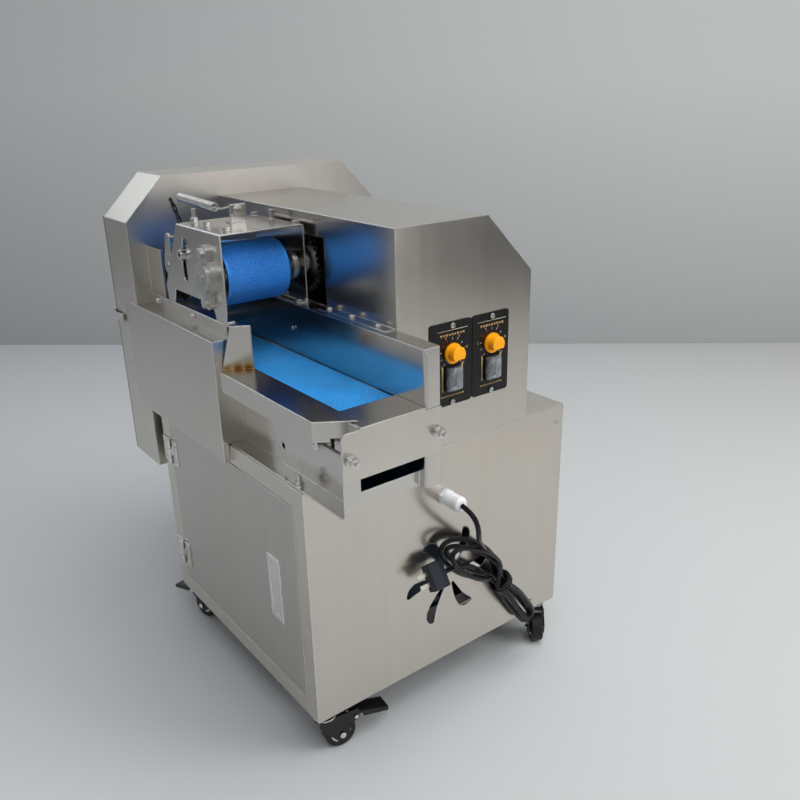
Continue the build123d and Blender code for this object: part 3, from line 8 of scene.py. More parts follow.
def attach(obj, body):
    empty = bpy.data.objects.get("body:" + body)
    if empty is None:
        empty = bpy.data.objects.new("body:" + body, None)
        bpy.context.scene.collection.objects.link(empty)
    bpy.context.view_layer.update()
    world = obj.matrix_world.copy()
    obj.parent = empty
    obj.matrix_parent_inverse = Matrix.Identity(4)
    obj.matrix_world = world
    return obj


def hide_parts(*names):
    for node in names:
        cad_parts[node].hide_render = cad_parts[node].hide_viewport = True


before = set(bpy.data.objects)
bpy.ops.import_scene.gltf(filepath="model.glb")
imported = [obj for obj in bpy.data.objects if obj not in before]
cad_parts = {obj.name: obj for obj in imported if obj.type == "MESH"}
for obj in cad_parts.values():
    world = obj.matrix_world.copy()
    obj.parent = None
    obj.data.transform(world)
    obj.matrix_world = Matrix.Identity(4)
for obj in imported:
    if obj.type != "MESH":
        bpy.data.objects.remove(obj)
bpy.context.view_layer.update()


# Studio: a photographer's camera a little over a metre away, left of the feed end and above it, a
# pale sweep of floor and a grey wall, both painted with light and shade. Three soft lamps light the
# machine from the right, above and the left, and three weak ones are there to be mirrored in its sheet.
MIDDLE_X, MIDDLE_Y, STAND = 242.7, 268.0, 75.0
PICTURE, FOCAL, SENSOR = 800, 816.14, 36.0
FLOOR_REACH, WALL_HIGH, WALL_SPARE = 9, 3.2, 3


def at(x, y, z):
    """A point in millimetres from the cabinet's near lower corner, as metres in the shared frame."""
    return Vector(((x - MIDDLE_X) / 1000, (y - MIDDLE_Y) / 1000, (z + STAND) / 1000))


def linked(name, data):
    """A new object in the scene."""
    made = bpy.data.objects.new(name, data)
    bpy.context.scene.collection.objects.link(made)
    return made


TURN, DOWN, ROLL = (math.radians(a) for a in (37.198, 20.999, 1.363))
EYE = at(-468.5, -832.2, 868.0)
ahead = Vector((math.sin(TURN) * math.cos(DOWN), math.cos(TURN) * math.cos(DOWN), -math.sin(DOWN)))
level = Vector((math.cos(TURN), -math.sin(TURN), 0.0))
lift = level.cross(ahead)
right = level * math.cos(ROLL) - lift * math.sin(ROLL)
up = level * math.sin(ROLL) + lift * math.cos(ROLL)
camera = linked("camera", bpy.data.cameras.new("camera"))
camera.data.sensor_width = SENSOR
camera.data.lens = FOCAL / PICTURE * SENSOR
camera.data.clip_end = 60.0
camera.matrix_world = Matrix.Translation(EYE) @ Matrix((right, up, -ahead)).transposed().to_4x4()
bpy.context.scene.camera = camera
bpy.context.scene.view_settings.view_transform = "Standard"


def feed(node, feeds):
    """Sets a node's inputs to values, or links the sockets given into them."""
    for key, value in feeds.items():
        if isinstance(value, bpy.types.NodeSocket):
            node.id_data.links.new(value, node.inputs[key])
        else:
            node.inputs[key].default_value = value


def add(tree, kind, feeds=None, **sets):
    """One node with its properties and inputs."""
    made = tree.nodes.new(kind)
    for key, value in sets.items():
        setattr(made, key, value)
    feed(made, feeds or {})
    return made


def shader(name):
    """A new material with its Principled shader."""
    made = bpy.data.materials.new(name)
    made.use_nodes = True
    return made, made.node_tree, made.node_tree.nodes["Principled BSDF"]


def here(tree):
    """Object coordinates."""
    return add(tree, "ShaderNodeTexCoord").outputs["Object"]


def xyz(tree, vector):
    """A vector's three parts."""
    return add(tree, "ShaderNodeSeparateXYZ", {0: vector}).outputs


def sums(tree, how, a, b=0.0, c=0.0):
    """The output of one Math node."""
    return add(tree, "ShaderNodeMath", {0: a, 1: b, 2: c}, operation=how).outputs[0]


def mixed(tree, part, a, b):
    """Two colours mixed by part."""
    a, b = ((*c, 1.0) if isinstance(c, tuple) else c for c in (a, b))
    return add(tree, "ShaderNodeMix", {0: part, 6: a, 7: b}, data_type="RGBA").outputs[2]


def spread(tree, value, lo, hi, out_lo=0.0, out_hi=1.0):
    """A value mapped from one range to another and held inside it."""
    return add(tree, "ShaderNodeMapRange", {0: value, 1: lo, 2: hi, 3: out_lo, 4: out_hi}).outputs[0]


def ramp(tree, value, *stops):
    """A colour ramp with stops (position, grey or colour)."""
    made = add(tree, "ShaderNodeValToRGB", {"Fac": value})
    parts = made.color_ramp.elements
    while len(parts) < len(stops):
        parts.new(0.5)
    for part, (place, tone) in zip(parts, stops):
        part.position = place
        part.color = (tone, tone, tone, 1) if isinstance(tone, float) else (*tone, 1)
    return made.outputs["Color"]


def on_floor(u, v):
    """Where the camera's ray through a picture point meets the floor."""
    ray = ahead * FOCAL + right * (u - PICTURE / 2) + up * (PICTURE / 2 - v)
    return EYE + ray * (EYE.z / -ray.z)


def sheet(name, corners):
    """A flat piece of the studio."""
    mesh = bpy.data.meshes.new(name)
    mesh.from_pydata(corners, [], [(0, 1, 2, 3)])
    return linked(name, mesh)


floor = sheet("floor", [(x, y, 0) for x, y in ((-FLOOR_REACH, -FLOOR_REACH), (FLOOR_REACH, -FLOOR_REACH),
                                               (FLOOR_REACH, FLOOR_REACH), (-FLOOR_REACH, FLOOR_REACH))])
foot_l, foot_r = on_floor(0, 345), on_floor(PICTURE, 343)
along = (foot_r - foot_l).normalized() * WALL_SPARE
top = Vector((0, 0, WALL_HIGH))
wall = sheet("wall", [foot_l - along, foot_r + along, foot_r + along + top, foot_l - along + top])

# The floor's colour holds painted shade: bluer grey at the left-back and a little darker to the right, to
# match how the light falls, and it fades to near-black 1 to 3 m off to the front right, a painted shade that
# the steel mirrors.
paint, tree, face = shader("pale floor, painted shade")
place = xyz(tree, here(tree))
across = spread(tree, sums(tree, "SUBTRACT", place["X"], place["Y"]), -2.2, 1.8)
away = sums(tree, "MULTIPLY_ADD", place["Y"], -0.83, sums(tree, "MULTIPLY", place["X"], 0.55))
pale = ramp(tree, across, (0.0, (0.47, 0.49, 0.51)), (0.55, (0.465, 0.48, 0.49)),
            (1.0, (0.445, 0.45, 0.445)))
feed(face, {"Base Color": mixed(tree, spread(tree, away, 1.0, 3.0), pale, (0.13, 0.13, 0.13)),
            "Roughness": 0.7, "Specular IOR Level": 0.2})
floor.data.materials.append(paint)

# The wall's colour is painted light and shade: dark grey at its foot, mid grey up to about 1.3 m and near
# white above 1.7 m, standing for how the room's light falls on it.
paint, tree, face = shader("grey wall, painted light and shade")
height = spread(tree, xyz(tree, here(tree))["Z"], 0.0, WALL_HIGH)
feed(face, {"Base Color": ramp(tree, height, (0.0, (0.335, 0.345, 0.345)), (0.3, (0.45, 0.455, 0.455)),
                               (0.42, (0.43, 0.44, 0.44)), (0.52, (0.86, 0.88, 0.90))),
            "Roughness": 0.8, "Specular IOR Level": 0.1})
wall.data.materials.append(paint)

world = bpy.data.worlds.new("soft room")
world.use_nodes = True
bpy.context.scene.world = world
tree = world.node_tree
sky = xyz(tree, add(tree, "ShaderNodeTexCoord").outputs["Generated"])["Z"]
sky = ramp(tree, spread(tree, sky, -0.2, 1.0), (0.0, (0.20, 0.205, 0.215)), (0.3, (0.36, 0.37, 0.385)),
           (1.0, (0.80, 0.80, 0.80)))
feed(tree.nodes["Background"], {"Color": sky, "Strength": 0.85})


def lamp(name, place, aim, size, watts, mirrored=False):
    """A rectangular soft lamp, which the sheet mirrors or not."""
    made = linked(name, bpy.data.lights.new(name, "AREA"))
    made.data.shape = "RECTANGLE"
    made.data.size, made.data.size_y = size
    made.data.energy = watts
    made.location = place
    made.visible_glossy = mirrored
    made.rotation_euler = (Vector(aim) - Vector(place)).to_track_quat("-Z", "Y").to_euler()
    return made


lamp("soft lamp right", (1.9, -2.3, 1.5), (0.0, 0.0, 0.45), (1.5, 1.3), 50)
lamp("soft lamp above", (0.45, -0.75, 2.9), (0.0, 0.0, 0.4), (1.8, 1.8), 44)
lamp("soft lamp left", (-0.8, -1.9, 2.5), (0.0, 0.0, 0.5), (1.0, 1.0), 8)
lamp("spark lamp", (-1.3, -1.7, 3.2), (0.0, 0.0, 0.4), (0.5, 0.5), 7, True)
lamp("window", (1.45, -3.4, 0.72), (-0.1, 0.25, 0.72), (0.8, 1.35), 8.5, True)
sky_light = lamp("sky window", (-0.95, 2.45, 2.1), (-0.27, 0.3, 0.72), (1.1, 0.8), 4.2, True)
sky_light.data.color = (0.84, 0.93, 1.0)


# Mains cord: 8 mm black PVC lead. It leaves the gland, drops in a short arc, and is wound up as one
# hank: three loops, a tie of its own two wraps, and a hanging bundle of six strands folded at the
# foot; its end goes back through the loops to the plug.
def noise(tree, spot, scale, detail=3.0, twist=0.0):
    """Soft noise at a scale per metre."""
    return add(tree, "ShaderNodeTexNoise", {"Vector": spot, "Scale": scale, "Detail": detail,
                                            "Distortion": twist}).outputs[0]


def relief(tree, height, strength, distance, normal=None):
    """A bumped normal, over another normal where one is given."""
    feeds = {"Height": height, "Strength": strength, "Distance": distance}
    if normal is not None:
        feeds["Normal"] = normal
    return add(tree, "ShaderNodeBump", feeds).outputs[0]


def rubber(name, tone, rough, bump=0.15, grain=900.0):
    """Black or grey rubber and PVC with a faint moulded skin."""
    made, tree, face = shader(name)
    spot = here(tree)
    wide = noise(tree, spot, 22.0)
    feed(face, {"Base Color": ramp(tree, wide, (0.3, tuple(c * 0.7 for c in tone)), (0.7, tone)),
                "Roughness": ramp(tree, wide, (0.25, rough * 0.8), (0.75, rough * 1.3)),
                "Specular IOR Level": 0.3,
                "Normal": relief(tree, noise(tree, spot, grain), bump, 0.0003)})
    return made


RING_AT, RING_TURN = (282.0, 174.0), math.radians(-37)
TIE = Vector((343.0, -22.0, 111.0))
TIE_ALONG = Vector((0.575, 0.0, -0.818))
TIE_SIDE = Vector((0.818, 0.0, 0.575))
WRAP_STEPS, WRAP_FROM, WRAP_TURN, WRAP_R, WRAPS_LONG = 23, 150, -30, 16.9, 13.0
CORD_R, CORD_LONG = 0.004, 2.36


def bow(long, wide, angles, depths):
    """Points round the hank's oval, one depth for each angle in degrees."""
    points = []
    for angle, depth in zip(angles, depths):
        a, b = long * math.cos(math.radians(angle)), wide * math.sin(math.radians(angle))
        points.append((RING_AT[0] + a * math.cos(RING_TURN) - b * math.sin(RING_TURN), depth,
                       RING_AT[1] + a * math.sin(RING_TURN) + b * math.cos(RING_TURN)))
    return points


def strand(side, depth, *steps):
    """Points along the bundle, step millimetres past the tie."""
    off = TIE_SIDE * side + Vector((0, depth - TIE.y, 0))
    return [tuple(TIE + TIE_ALONG * step + off) for step in steps]


def fold(side_a, side_b, depth_a, depth_b, end):
    """The fold at the foot of the bundle, from one side to the other."""
    mid = (depth_a + depth_b) / 2
    return (strand(side_a, depth_a, 52, 88, end - 12) +
            strand(side_a * 0.9 + side_b * 0.1, depth_a, end + 3) +
            strand((side_a + side_b) / 2, mid, end + 8) +
            strand(side_a * 0.1 + side_b * 0.9, depth_b, end + 3) +
            strand(side_b, depth_b, end - 12, 88, 52))


LOWER = (326, 305, 285, 265, 245, 225, 205)
UPPER = (185, 165, 145, 125, 105, 85, 65, 45, 28)
route = [(244, -38.8, 291), (244.5, -60, 287), (246.5, -72, 268), (256, -62, 239), (286, -38, 205)]
route += [(305, -24, 185), (320, -17, 168), (331, -15, 148)]
route += strand(4.2, -14.7, -22, 0, 22) + fold(8, -12, -15, -13, 128) + strand(-4.2, -14.7, 22, 0, -22)
route += bow(70, 27, LOWER, (-15, -13, -12, -12, -13, -13, -13))
route += bow(71, 28, UPPER, (-13, -13, -13, -12, -12, -11, -11, -13, -17))
route += strand(8.4, -22, -22, 0, 22) + fold(15, -5, -23, -22, 118) + strand(-8.4, -22, 22, 0, -22)
route += bow(66, 22, LOWER, (-28, -32, -34, -35, -35, -35, -35))
route += bow(66, 23, UPPER, (-35, -35, -36, -38, -39, -38, -35, -32, -30))
route += strand(4.2, -29.3, -22, 0, 22) + fold(11, -9, -31, -30, 106) + strand(-4.2, -29.3, 22, 0, -22)
route += bow(59, 15, LOWER, (-26, -22, -19, -16, -14, -14, -14))
route += bow(60, 17, UPPER, (-14, -15, -17, -20, -22, -24, -25, -28, -34))
for k in range(WRAP_STEPS):
    angle = math.radians(WRAP_FROM + WRAP_TURN * k)
    round_tie = TIE_SIDE * (WRAP_R * math.cos(angle)) + Vector((0, -WRAP_R * math.sin(angle), 0))
    route.append(tuple(TIE + TIE_ALONG * (WRAPS_LONG * (k / WRAP_STEPS - 0.5)) + round_tie))
route += [(322, -9, 124), (306, -12, 142), (288, -20, 158), (266, -24, 174), (250, -24, 179.4),
          (234, -24, 180), (223, -24, 180)]


def wire_curve(name, points, radius, fine, sides):
    """A round wire along a smooth line, in metres, as a curve with closed ends."""
    made = bpy.data.curves.new(name, "CURVE")
    made.dimensions = "3D"
    run = made.splines.new("NURBS")
    run.points.add(len(points) - 1)
    for knot, spot in zip(run.points, points):
        knot.co = (*spot, 1.0)
    run.use_endpoint_u = True
    run.order_u = 3
    run.resolution_u = fine
    made.bevel_depth = radius
    made.bevel_resolution = sides
    made.use_fill_caps = True
    return made


line = wire_curve("cord_free", [at(*spot) for spot in route], CORD_R, 5, 4)
cord = linked("mains_cord", line)
line.materials.append(rubber("black cord PVC", (0.005, 0.005, 0.006), 0.2, 0.06))
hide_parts("cord", "cord_hank")
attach(cord, "machine")


# Cabinet: folded 1.5 mm stainless on four casters, with an inset door, its two riveted hinges and a
# recessed flush latch. The grain runs upright, and back to front on lying faces. The folds are rubbed
# and painted bright as a highlight, the inside is dusty and painted near-black as shade, and the door's
# sheet is painted darker than the cabinet's as shade.
GRAIN_SQUEEZE, LIES_FLAT = 0.006, 0.75


def kit(name, takes, gives):
    """A shader node group with float inputs and the outputs given by name and kind."""
    made = bpy.data.node_groups.new(name, "ShaderNodeTree")
    for key, value in takes.items():
        made.interface.new_socket(key, in_out="INPUT", socket_type="NodeSocketFloat").default_value = value
    for key, kind in gives.items():
        made.interface.new_socket(key, in_out="OUTPUT", socket_type="NodeSocket" + kind)
    return made, made.nodes.new("NodeGroupInput").outputs, made.nodes.new("NodeGroupOutput")


def drawn_out(tree, vector, by):
    """A vector times another."""
    return add(tree, "ShaderNodeVectorMath", {0: vector, 1: by}, operation="MULTIPLY").outputs[0]


GRAIN, takes, gives = kit("brushed grain", {"Scale": 620.0}, {"Tone": "Float", "Streak": "Float"})
spot = add(GRAIN, "ShaderNodeTexCoord").outputs
lies = sums(GRAIN, "GREATER_THAN", sums(GRAIN, "ABSOLUTE", xyz(GRAIN, spot["Normal"])["Z"]), LIES_FLAT)
pull_y = sums(GRAIN, "MULTIPLY_ADD", lies, GRAIN_SQUEEZE - 1.0, 1.0)
pull_z = sums(GRAIN, "MULTIPLY_ADD", lies, 1.0 - GRAIN_SQUEEZE, GRAIN_SQUEEZE)
pull = add(GRAIN, "ShaderNodeCombineXYZ", {0: 1.0, 1: pull_y, 2: pull_z})
drawn = drawn_out(GRAIN, spot["Object"], pull.outputs[0])
feed(gives, {"Tone": noise(GRAIN, drawn, takes["Scale"], 2.0), "Streak": noise(GRAIN, drawn, 55.0)})

MARKS, takes, gives = kit("handling marks", {"Amount": 1.0}, {"Mask": "Float"})
spot = here(MARKS)
cloud = noise(MARKS, spot, 5.5, 4.0, 0.8)
touch = noise(MARKS, spot, 38.0, 2.0, 1.5)
slant = add(MARKS, "ShaderNodeMapping",
            {"Vector": spot, "Rotation": (0.5, 0.6, 0.4), "Scale": (1.0, 8.0, 1.2)})
wipe = noise(MARKS, slant.outputs[0], 9.0)
dull = spread(MARKS, cloud, 0.47, 0.68)
prints = sums(MARKS, "MULTIPLY", spread(MARKS, touch, 0.56, 0.74), spread(MARKS, cloud, 0.4, 0.6))
swept = sums(MARKS, "MULTIPLY", spread(MARKS, wipe, 0.5, 0.7), 0.5)
both = sums(MARKS, "MAXIMUM", sums(MARKS, "MULTIPLY", dull, 0.6), sums(MARKS, "MULTIPLY", prints, 0.9))
feed(gives, {"Mask": sums(MARKS, "MULTIPLY", sums(MARKS, "MAXIMUM", both, swept), takes["Amount"])})

# The rounded normal at the folds and a mask of them; the mask serves rubbed wear, and painted highlights on
# the steel and the belts.
EDGE, takes, gives = kit("worn and highlighted edge", {"Radius": 0.0012}, {"Normal": "Vector", "Mask": "Float"})
soft = add(EDGE, "ShaderNodeBevel", {"Radius": takes["Radius"]}, samples=4).outputs[0]
hard = add(EDGE, "ShaderNodeNewGeometry").outputs["Normal"]
agree = add(EDGE, "ShaderNodeVectorMath", {0: soft, 1: hard}, operation="DOT_PRODUCT")
feed(gives, {"Normal": soft, "Mask": spread(EDGE, agree.outputs["Value"], 0.995, 0.86)})


def use(tree, group, **sets):
    """The outputs of a shared group, with its inputs set."""
    return add(tree, "ShaderNodeGroup", sets, node_tree=group).outputs


def shade(tone, by, most=1.0):
    """A colour made darker or paler."""
    return tuple(min(most, c * by) for c in tone)


def steel(name, tone, rough, grain=2400.0, depth=0.035, marks=0.7, bright=0.85, tint=None):
    """Brushed stainless sheet: fine grain, smudges and prints, folds rubbed and painted bright as a
    highlight.
    """
    made, tree, face = shader(name)
    lines, smear = use(tree, GRAIN, Scale=grain), use(tree, MARKS, Amount=marks)
    edge = use(tree, EDGE, Radius=0.0022)
    fine = spread(tree, lines["Tone"], 0.3, 0.7)
    streak = spread(tree, lines["Streak"], 0.3, 0.7)
    both = sums(tree, "MULTIPLY_ADD", fine, 0.5, sums(tree, "MULTIPLY", streak, 0.5))
    base = mixed(tree, both, shade(tone, 0.95), shade(tone, 1.03))
    base = mixed(tree, sums(tree, "MULTIPLY", smear["Mask"], 0.4), base, shade(tone, 0.86))
    # The folds are mixed towards near white: rubbed metal, and a painted highlight.
    base = mixed(tree, sums(tree, "MULTIPLY", edge["Mask"], bright), base, (0.93, 0.92, 0.90))
    worn = sums(tree, "MULTIPLY_ADD", smear["Mask"], 0.08, rough - 0.02)
    worn = sums(tree, "MULTIPLY_ADD", fine, 0.03, sums(tree, "MULTIPLY_ADD", streak, 0.015, worn))
    feed(face, {"Base Color": tint(tree, base) if tint else base, "Roughness": worn, "Metallic": 1.0,
                "Normal": relief(tree, fine, depth, 0.00006, edge["Normal"])})
    return made


def dress(paint, *names):
    """Gives CAD nodes their procedural material."""
    for name in names:
        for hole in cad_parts[name].material_slots:
            hole.material = paint


INSIDE_LOW, INSIDE_HIGH = at(3.5, 3.5, -40.0), at(496.5, 473.5, 374.2)


def dusty_shaded_inside(tree, base):
    """The inside of the cabinet, unpolished and dusty, and painted near-black as shade."""
    parts, inside = xyz(tree, here(tree)), None
    for axis, (low, high) in enumerate(zip(INSIDE_LOW, INSIDE_HIGH)):
        off = sums(tree, "ABSOLUTE", sums(tree, "SUBTRACT", parts[axis], (high + low) / 2))
        within = sums(tree, "LESS_THAN", off, (high - low) / 2)
        inside = within if inside is None else sums(tree, "MULTIPLY", inside, within)
    # Inside the cabinet's box the colour is set near-black: dust, and painted shade.
    return mixed(tree, inside, base, (0.10, 0.098, 0.094))


dress(steel("cabinet stainless", (0.65, 0.605, 0.545), 0.21, tint=dusty_shaded_inside), "cabinet_shell")
# The door's sheet is the cabinet's stainless painted darker, as the shade on that side.
dress(steel("door stainless, painted shade", (0.53, 0.505, 0.465), 0.22), "door")
fitting = steel("bright pressed fittings", (0.74, 0.72, 0.69), 0.20, grain=3000.0, depth=0.12, marks=0.6)
dress(fitting, "hinge_fixed", "hinge_moving", "cover_hinges", "cover_clasp", "tail_axle")
dress(steel("latch stainless", (0.78, 0.77, 0.745), 0.16, grain=3000.0, depth=0.06, marks=0.5),
      "latch_body", "latch_paddle")


# Cutting head: an eight-sided shell of 2 mm sheet with a flange round its back, a foam rubber seal
# and a hinged cover; the near plate is the largest brushed face of the machine.
dress(steel("head stainless", (0.68, 0.645, 0.59), 0.34), "head_shell")
dress(steel("cover stainless", (0.65, 0.615, 0.56), 0.27, marks=0.35), "head_cover")
dress(rubber("black cellular seal", (0.014, 0.014, 0.015), 0.55, 0.6, 500.0), "seal")


# Trough, guard and housing: folded sheet, smoother inside where the produce slides, with the nose
# plate over the tail roller and the loading shelf welded to the left rail.
WELDS, WELD_HIGH = ((11.4, 209.4, 3.4), (23.5, 198.7, 3.2), (35.4, 190.6, 3.5)), 494.0
HEATED = 0.016


def scorched(tree, base):
    """Straw and brown heat tint round the three weld spots at the gusset's foot."""
    spot, near = here(tree), None
    for x, y, _ in WELDS:
        far = add(tree, "ShaderNodeVectorMath", {0: spot, 1: at(x, y, WELD_HIGH)}, operation="DISTANCE")
        far = far.outputs["Value"]
        near = far if near is None else sums(tree, "MINIMUM", near, far)
    heat = ramp(tree, spread(tree, near, 0.0, HEATED), (0.0, (0.05, 0.025, 0.015)),
                (0.35, (0.30, 0.13, 0.05)), (0.62, (0.62, 0.44, 0.20)), (1.0, (0.66, 0.62, 0.57)))
    return mixed(tree, spread(tree, near, HEATED, HEATED / 2), base, heat)


dress(steel("trough stainless", (0.63, 0.61, 0.575), 0.17, grain=2800.0, depth=0.05, marks=0.8),
      "trough_frame", "gantry")
dress(steel("shelf stainless", (0.64, 0.61, 0.56), 0.20, grain=2800.0, depth=0.16, tint=scorched),
      "side_shelf")
dress(steel("end plate stainless", (0.67, 0.64, 0.59), 0.20, depth=0.05), "end_plate")
dress(steel("guard stainless", (0.60, 0.57, 0.52), 0.22), "side_guard")
dress(steel("housing stainless", (0.64, 0.605, 0.55), 0.21, depth=0.05), "control_housing")


# Press unit and drives: turned rollers on flange bearings of light alloy, chains and gears black
# with oil, a ground blade, and two enamelled motors, one with a rubber belt on an iron pulley.
RINGS, takes, gives = kit("turned rings", {"Scale": 1400.0}, {"Tone": "Float"})
feed(gives, {"Tone": noise(RINGS, drawn_out(RINGS, here(RINGS), (1.0, 0.03, 0.03)), takes["Scale"], 1.0)})


def worked(name, tone, rough, grain=1400.0, depth=0.3, dirt=0.3):
    """Turned or machined metal: fine rings round the shaft and a little grease in patches."""
    made, tree, face = shader(name)
    rings, smear, edge = use(tree, RINGS, Scale=grain), use(tree, MARKS), use(tree, EDGE, Radius=0.0006)
    base = mixed(tree, rings["Tone"], shade(tone, 0.82), shade(tone, 1.08))
    base = mixed(tree, sums(tree, "MULTIPLY", smear["Mask"], dirt), base, (0.03, 0.025, 0.02))
    base = mixed(tree, sums(tree, "MULTIPLY", edge["Mask"], 0.4), base, shade(tone, 1.5))
    feed(face, {"Base Color": base, "Metallic": 1.0,
                "Roughness": sums(tree, "MULTIPLY_ADD", smear["Mask"], 0.15, rough),
                "Normal": relief(tree, rings["Tone"], depth, 0.00005, edge["Normal"])})
    return made


def moulded(name, tone, rough, skin=700.0, depth=0.2, metal=0.0, coat=0.0, worn=0.25, pale=2.2, wide=26.0):
    """Plastic, paint, cast or lacquered parts: a fine skin, uneven gloss, edges rubbed paler."""
    made, tree, face = shader(name)
    spot = here(tree)
    smear, edge = use(tree, MARKS), use(tree, EDGE, Radius=0.0005)
    patch = noise(tree, spot, wide)
    base = mixed(tree, spread(tree, patch, 0.3, 0.7), shade(tone, 0.8), tone)
    base = mixed(tree, sums(tree, "MULTIPLY", edge["Mask"], worn), base, shade(tone, pale, 0.95))
    gloss = sums(tree, "MULTIPLY_ADD", smear["Mask"], 0.2, rough * 0.85)
    feed(face, {"Base Color": base, "Roughness": sums(tree, "MULTIPLY_ADD", patch, rough * 0.3, gloss),
                "Specular IOR Level": 0.34, "Metallic": metal, "Coat Weight": coat, "Coat Roughness": 0.12,
                "Normal": relief(tree, noise(tree, spot, skin), depth, 0.0002, edge["Normal"])})
    return made


dress(steel("arm steel", (0.68, 0.66, 0.63), 0.24, grain=3000.0, depth=0.15), "press_arm")
alloy = moulded("cast light alloy", (0.62, 0.62, 0.60), 0.34, skin=420.0, depth=0.5, metal=0.9, worn=0.5,
                pale=1.4)
dress(alloy, "press_bearings", "blade_bearings")
dress(worked("turned steel", (0.62, 0.61, 0.59), 0.18), "tail_roller", "drive_roller", "press_drum",
      "press_rear_roller", "blade_shaft")
dress(worked("oiled black steel", (0.085, 0.082, 0.08), 0.26, dirt=0.6), "feed_chain", "press_chain",
      "feed_pinion", "counter_gear")
dress(worked("polished blade steel", (0.80, 0.80, 0.80), 0.09, grain=2200.0, depth=0.15, dirt=0.08),
      "blade_rotor")
dress(moulded("motor enamel", (0.10, 0.15, 0.20), 0.36, skin=300.0, depth=0.6, coat=0.3, wide=12.0),
      "main_motor", "gear_motor")
dress(moulded("machined iron", (0.20, 0.20, 0.20), 0.34, skin=500.0, depth=0.5, metal=0.8), "motor_pulley")
dress(rubber("belt rubber", (0.016, 0.016, 0.017), 0.5, 0.5, 1200.0), "v_belt")


# Controls: two gloss black plates, each with a rocker switch in a moulded frame and an orange knob,
# and held on the housing by a screw above and one below.
dress(moulded("gloss black plate", (0.004, 0.004, 0.0045), 0.22, skin=500.0, depth=0.02), "control_panels")
dress(moulded("black switch plastic", (0.014, 0.015, 0.017), 0.22, skin=1400.0, depth=0.15), "rocker_frames")
dress(moulded("grey rocker plastic", (0.05, 0.055, 0.06), 0.2, skin=1400.0, depth=0.1), "rocker_left",
      "rocker_right")
dress(moulded("orange knob plastic", (1.0, 0.40, 0.008), 0.3, skin=1200.0, depth=0.12, worn=0.35, pale=1.3),
      "knob_left", "knob_right")


# Casters: black lacquered pressed forks and pedals, and moulded wheels with a grey-black tread.
# Each fork turns under its own plate at a corner of the cabinet.
lacquer = moulded("black lacquered steel", (0.009, 0.009, 0.010), 0.2, skin=260.0, depth=0.25, coat=0.1,
                  pale=5.0)
dress(lacquer, *(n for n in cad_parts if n.startswith(("fork_", "pedal_"))), "caster_plates")
dress(rubber("wheel rubber", (0.014, 0.014, 0.015), 0.35, 0.35, 600.0),
      *(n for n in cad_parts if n.startswith("wheel_")))


# Gland and plug: a white nylon nut clamped round the cord where it leaves the cabinet, and a
# moulded blue-grey plug with flat pins.
dress(moulded("white nylon", (0.86, 0.87, 0.88), 0.32, skin=900.0, depth=0.15, worn=0.1, pale=1.1),
      "cable_gland")
PIN_END = at(189.9, 0, 0).x


def plated_pins(name):
    """Blue-grey moulded body; the flat pins beyond its face are nickel-plated brass."""
    made = moulded(name, (0.016, 0.020, 0.027), 0.3, skin=900.0, depth=0.15)
    tree, face = made.node_tree, made.node_tree.nodes["Principled BSDF"]
    pin = sums(tree, "LESS_THAN", xyz(tree, here(tree))["X"], PIN_END)
    body = face.inputs["Base Color"].links[0].from_socket
    feed(face, {"Base Color": mixed(tree, pin, body, (0.80, 0.76, 0.66)), "Metallic": pin})
    return made


dress(plated_pins("blue-grey plug"), "plug")


# Screws, rivets and weld spots: pressed dome heads with a cross recess, plain rivet heads and small
# scorched weld blobs, set on their points and turned to face out of the sheet.
def piece(name, mesh, paint, body, finish, *stands_for):
    """A finished mesh as a piece that rides on a body; its finish argument is not used."""
    if not mesh.materials:
        mesh.materials.append(paint)
    made = linked(name, mesh)
    if stands_for:
        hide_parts(*stands_for)
    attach(made, body)


def mesh_of(verts, faces, smooth=True):
    """A mesh with its normals turned outward."""
    made = bpy.data.meshes.new("mesh")
    made.from_pydata([tuple(v) for v in verts], [], faces)
    work = bmesh.new()
    work.from_mesh(made)
    bmesh.ops.remove_doubles(work, verts=work.verts, dist=1e-7)
    bmesh.ops.recalc_face_normals(work, faces=work.faces)
    work.to_mesh(made)
    work.free()
    made.shade_smooth() if smooth else made.shade_flat()
    return made


def turned(profile, sides=16):
    """A closed turned form round Z from (radius, height) pairs that start and end on the axis."""
    verts = [(radius * math.cos(math.tau * k / sides), radius * math.sin(math.tau * k / sides), height)
             for radius, height in profile for k in range(sides)]
    faces = []
    for row in range(len(profile) - 1):
        for k in range(sides):
            a, b = row * sides + k, row * sides + (k + 1) % sides
            faces.append((a, b, b + sides, a + sides))
    return mesh_of(verts, faces)


def joined(*meshes):
    """Several meshes as one, each as (mesh, matrix) or alone."""
    work = bmesh.new()
    for part in meshes:
        mesh, place = part if isinstance(part, tuple) else (part, Matrix())
        start = len(work.verts)
        work.from_mesh(mesh)
        work.verts.ensure_lookup_table()
        bmesh.ops.transform(work, matrix=place, verts=work.verts[start:])
    made = bpy.data.meshes.new("joined")
    work.to_mesh(made)
    work.free()
    made.shade_smooth()
    return made


def sprout(name, takes):
    """A Geometry Nodes tree with its named inputs."""
    made = bpy.data.node_groups.new(name, "GeometryNodeTree")
    made.interface.new_socket("Geometry", in_out="INPUT", socket_type="NodeSocketGeometry")
    for key, kind in takes.items():
        made.interface.new_socket(key, in_out="INPUT", socket_type="NodeSocket" + kind)
    made.interface.new_socket("Geometry", in_out="OUTPUT", socket_type="NodeSocketGeometry")
    return made, made.nodes.new("NodeGroupInput").outputs, made.nodes.new("NodeGroupOutput")


def finished(tree, shape, paint, gives):
    """Ends a tree with Realize Instances and Set Material."""
    real = add(tree, "GeometryNodeRealizeInstances", {0: shape}).outputs[0]
    feed(gives, {0: add(tree, "GeometryNodeSetMaterial", {"Geometry": real, "Material": paint}).outputs[0]})


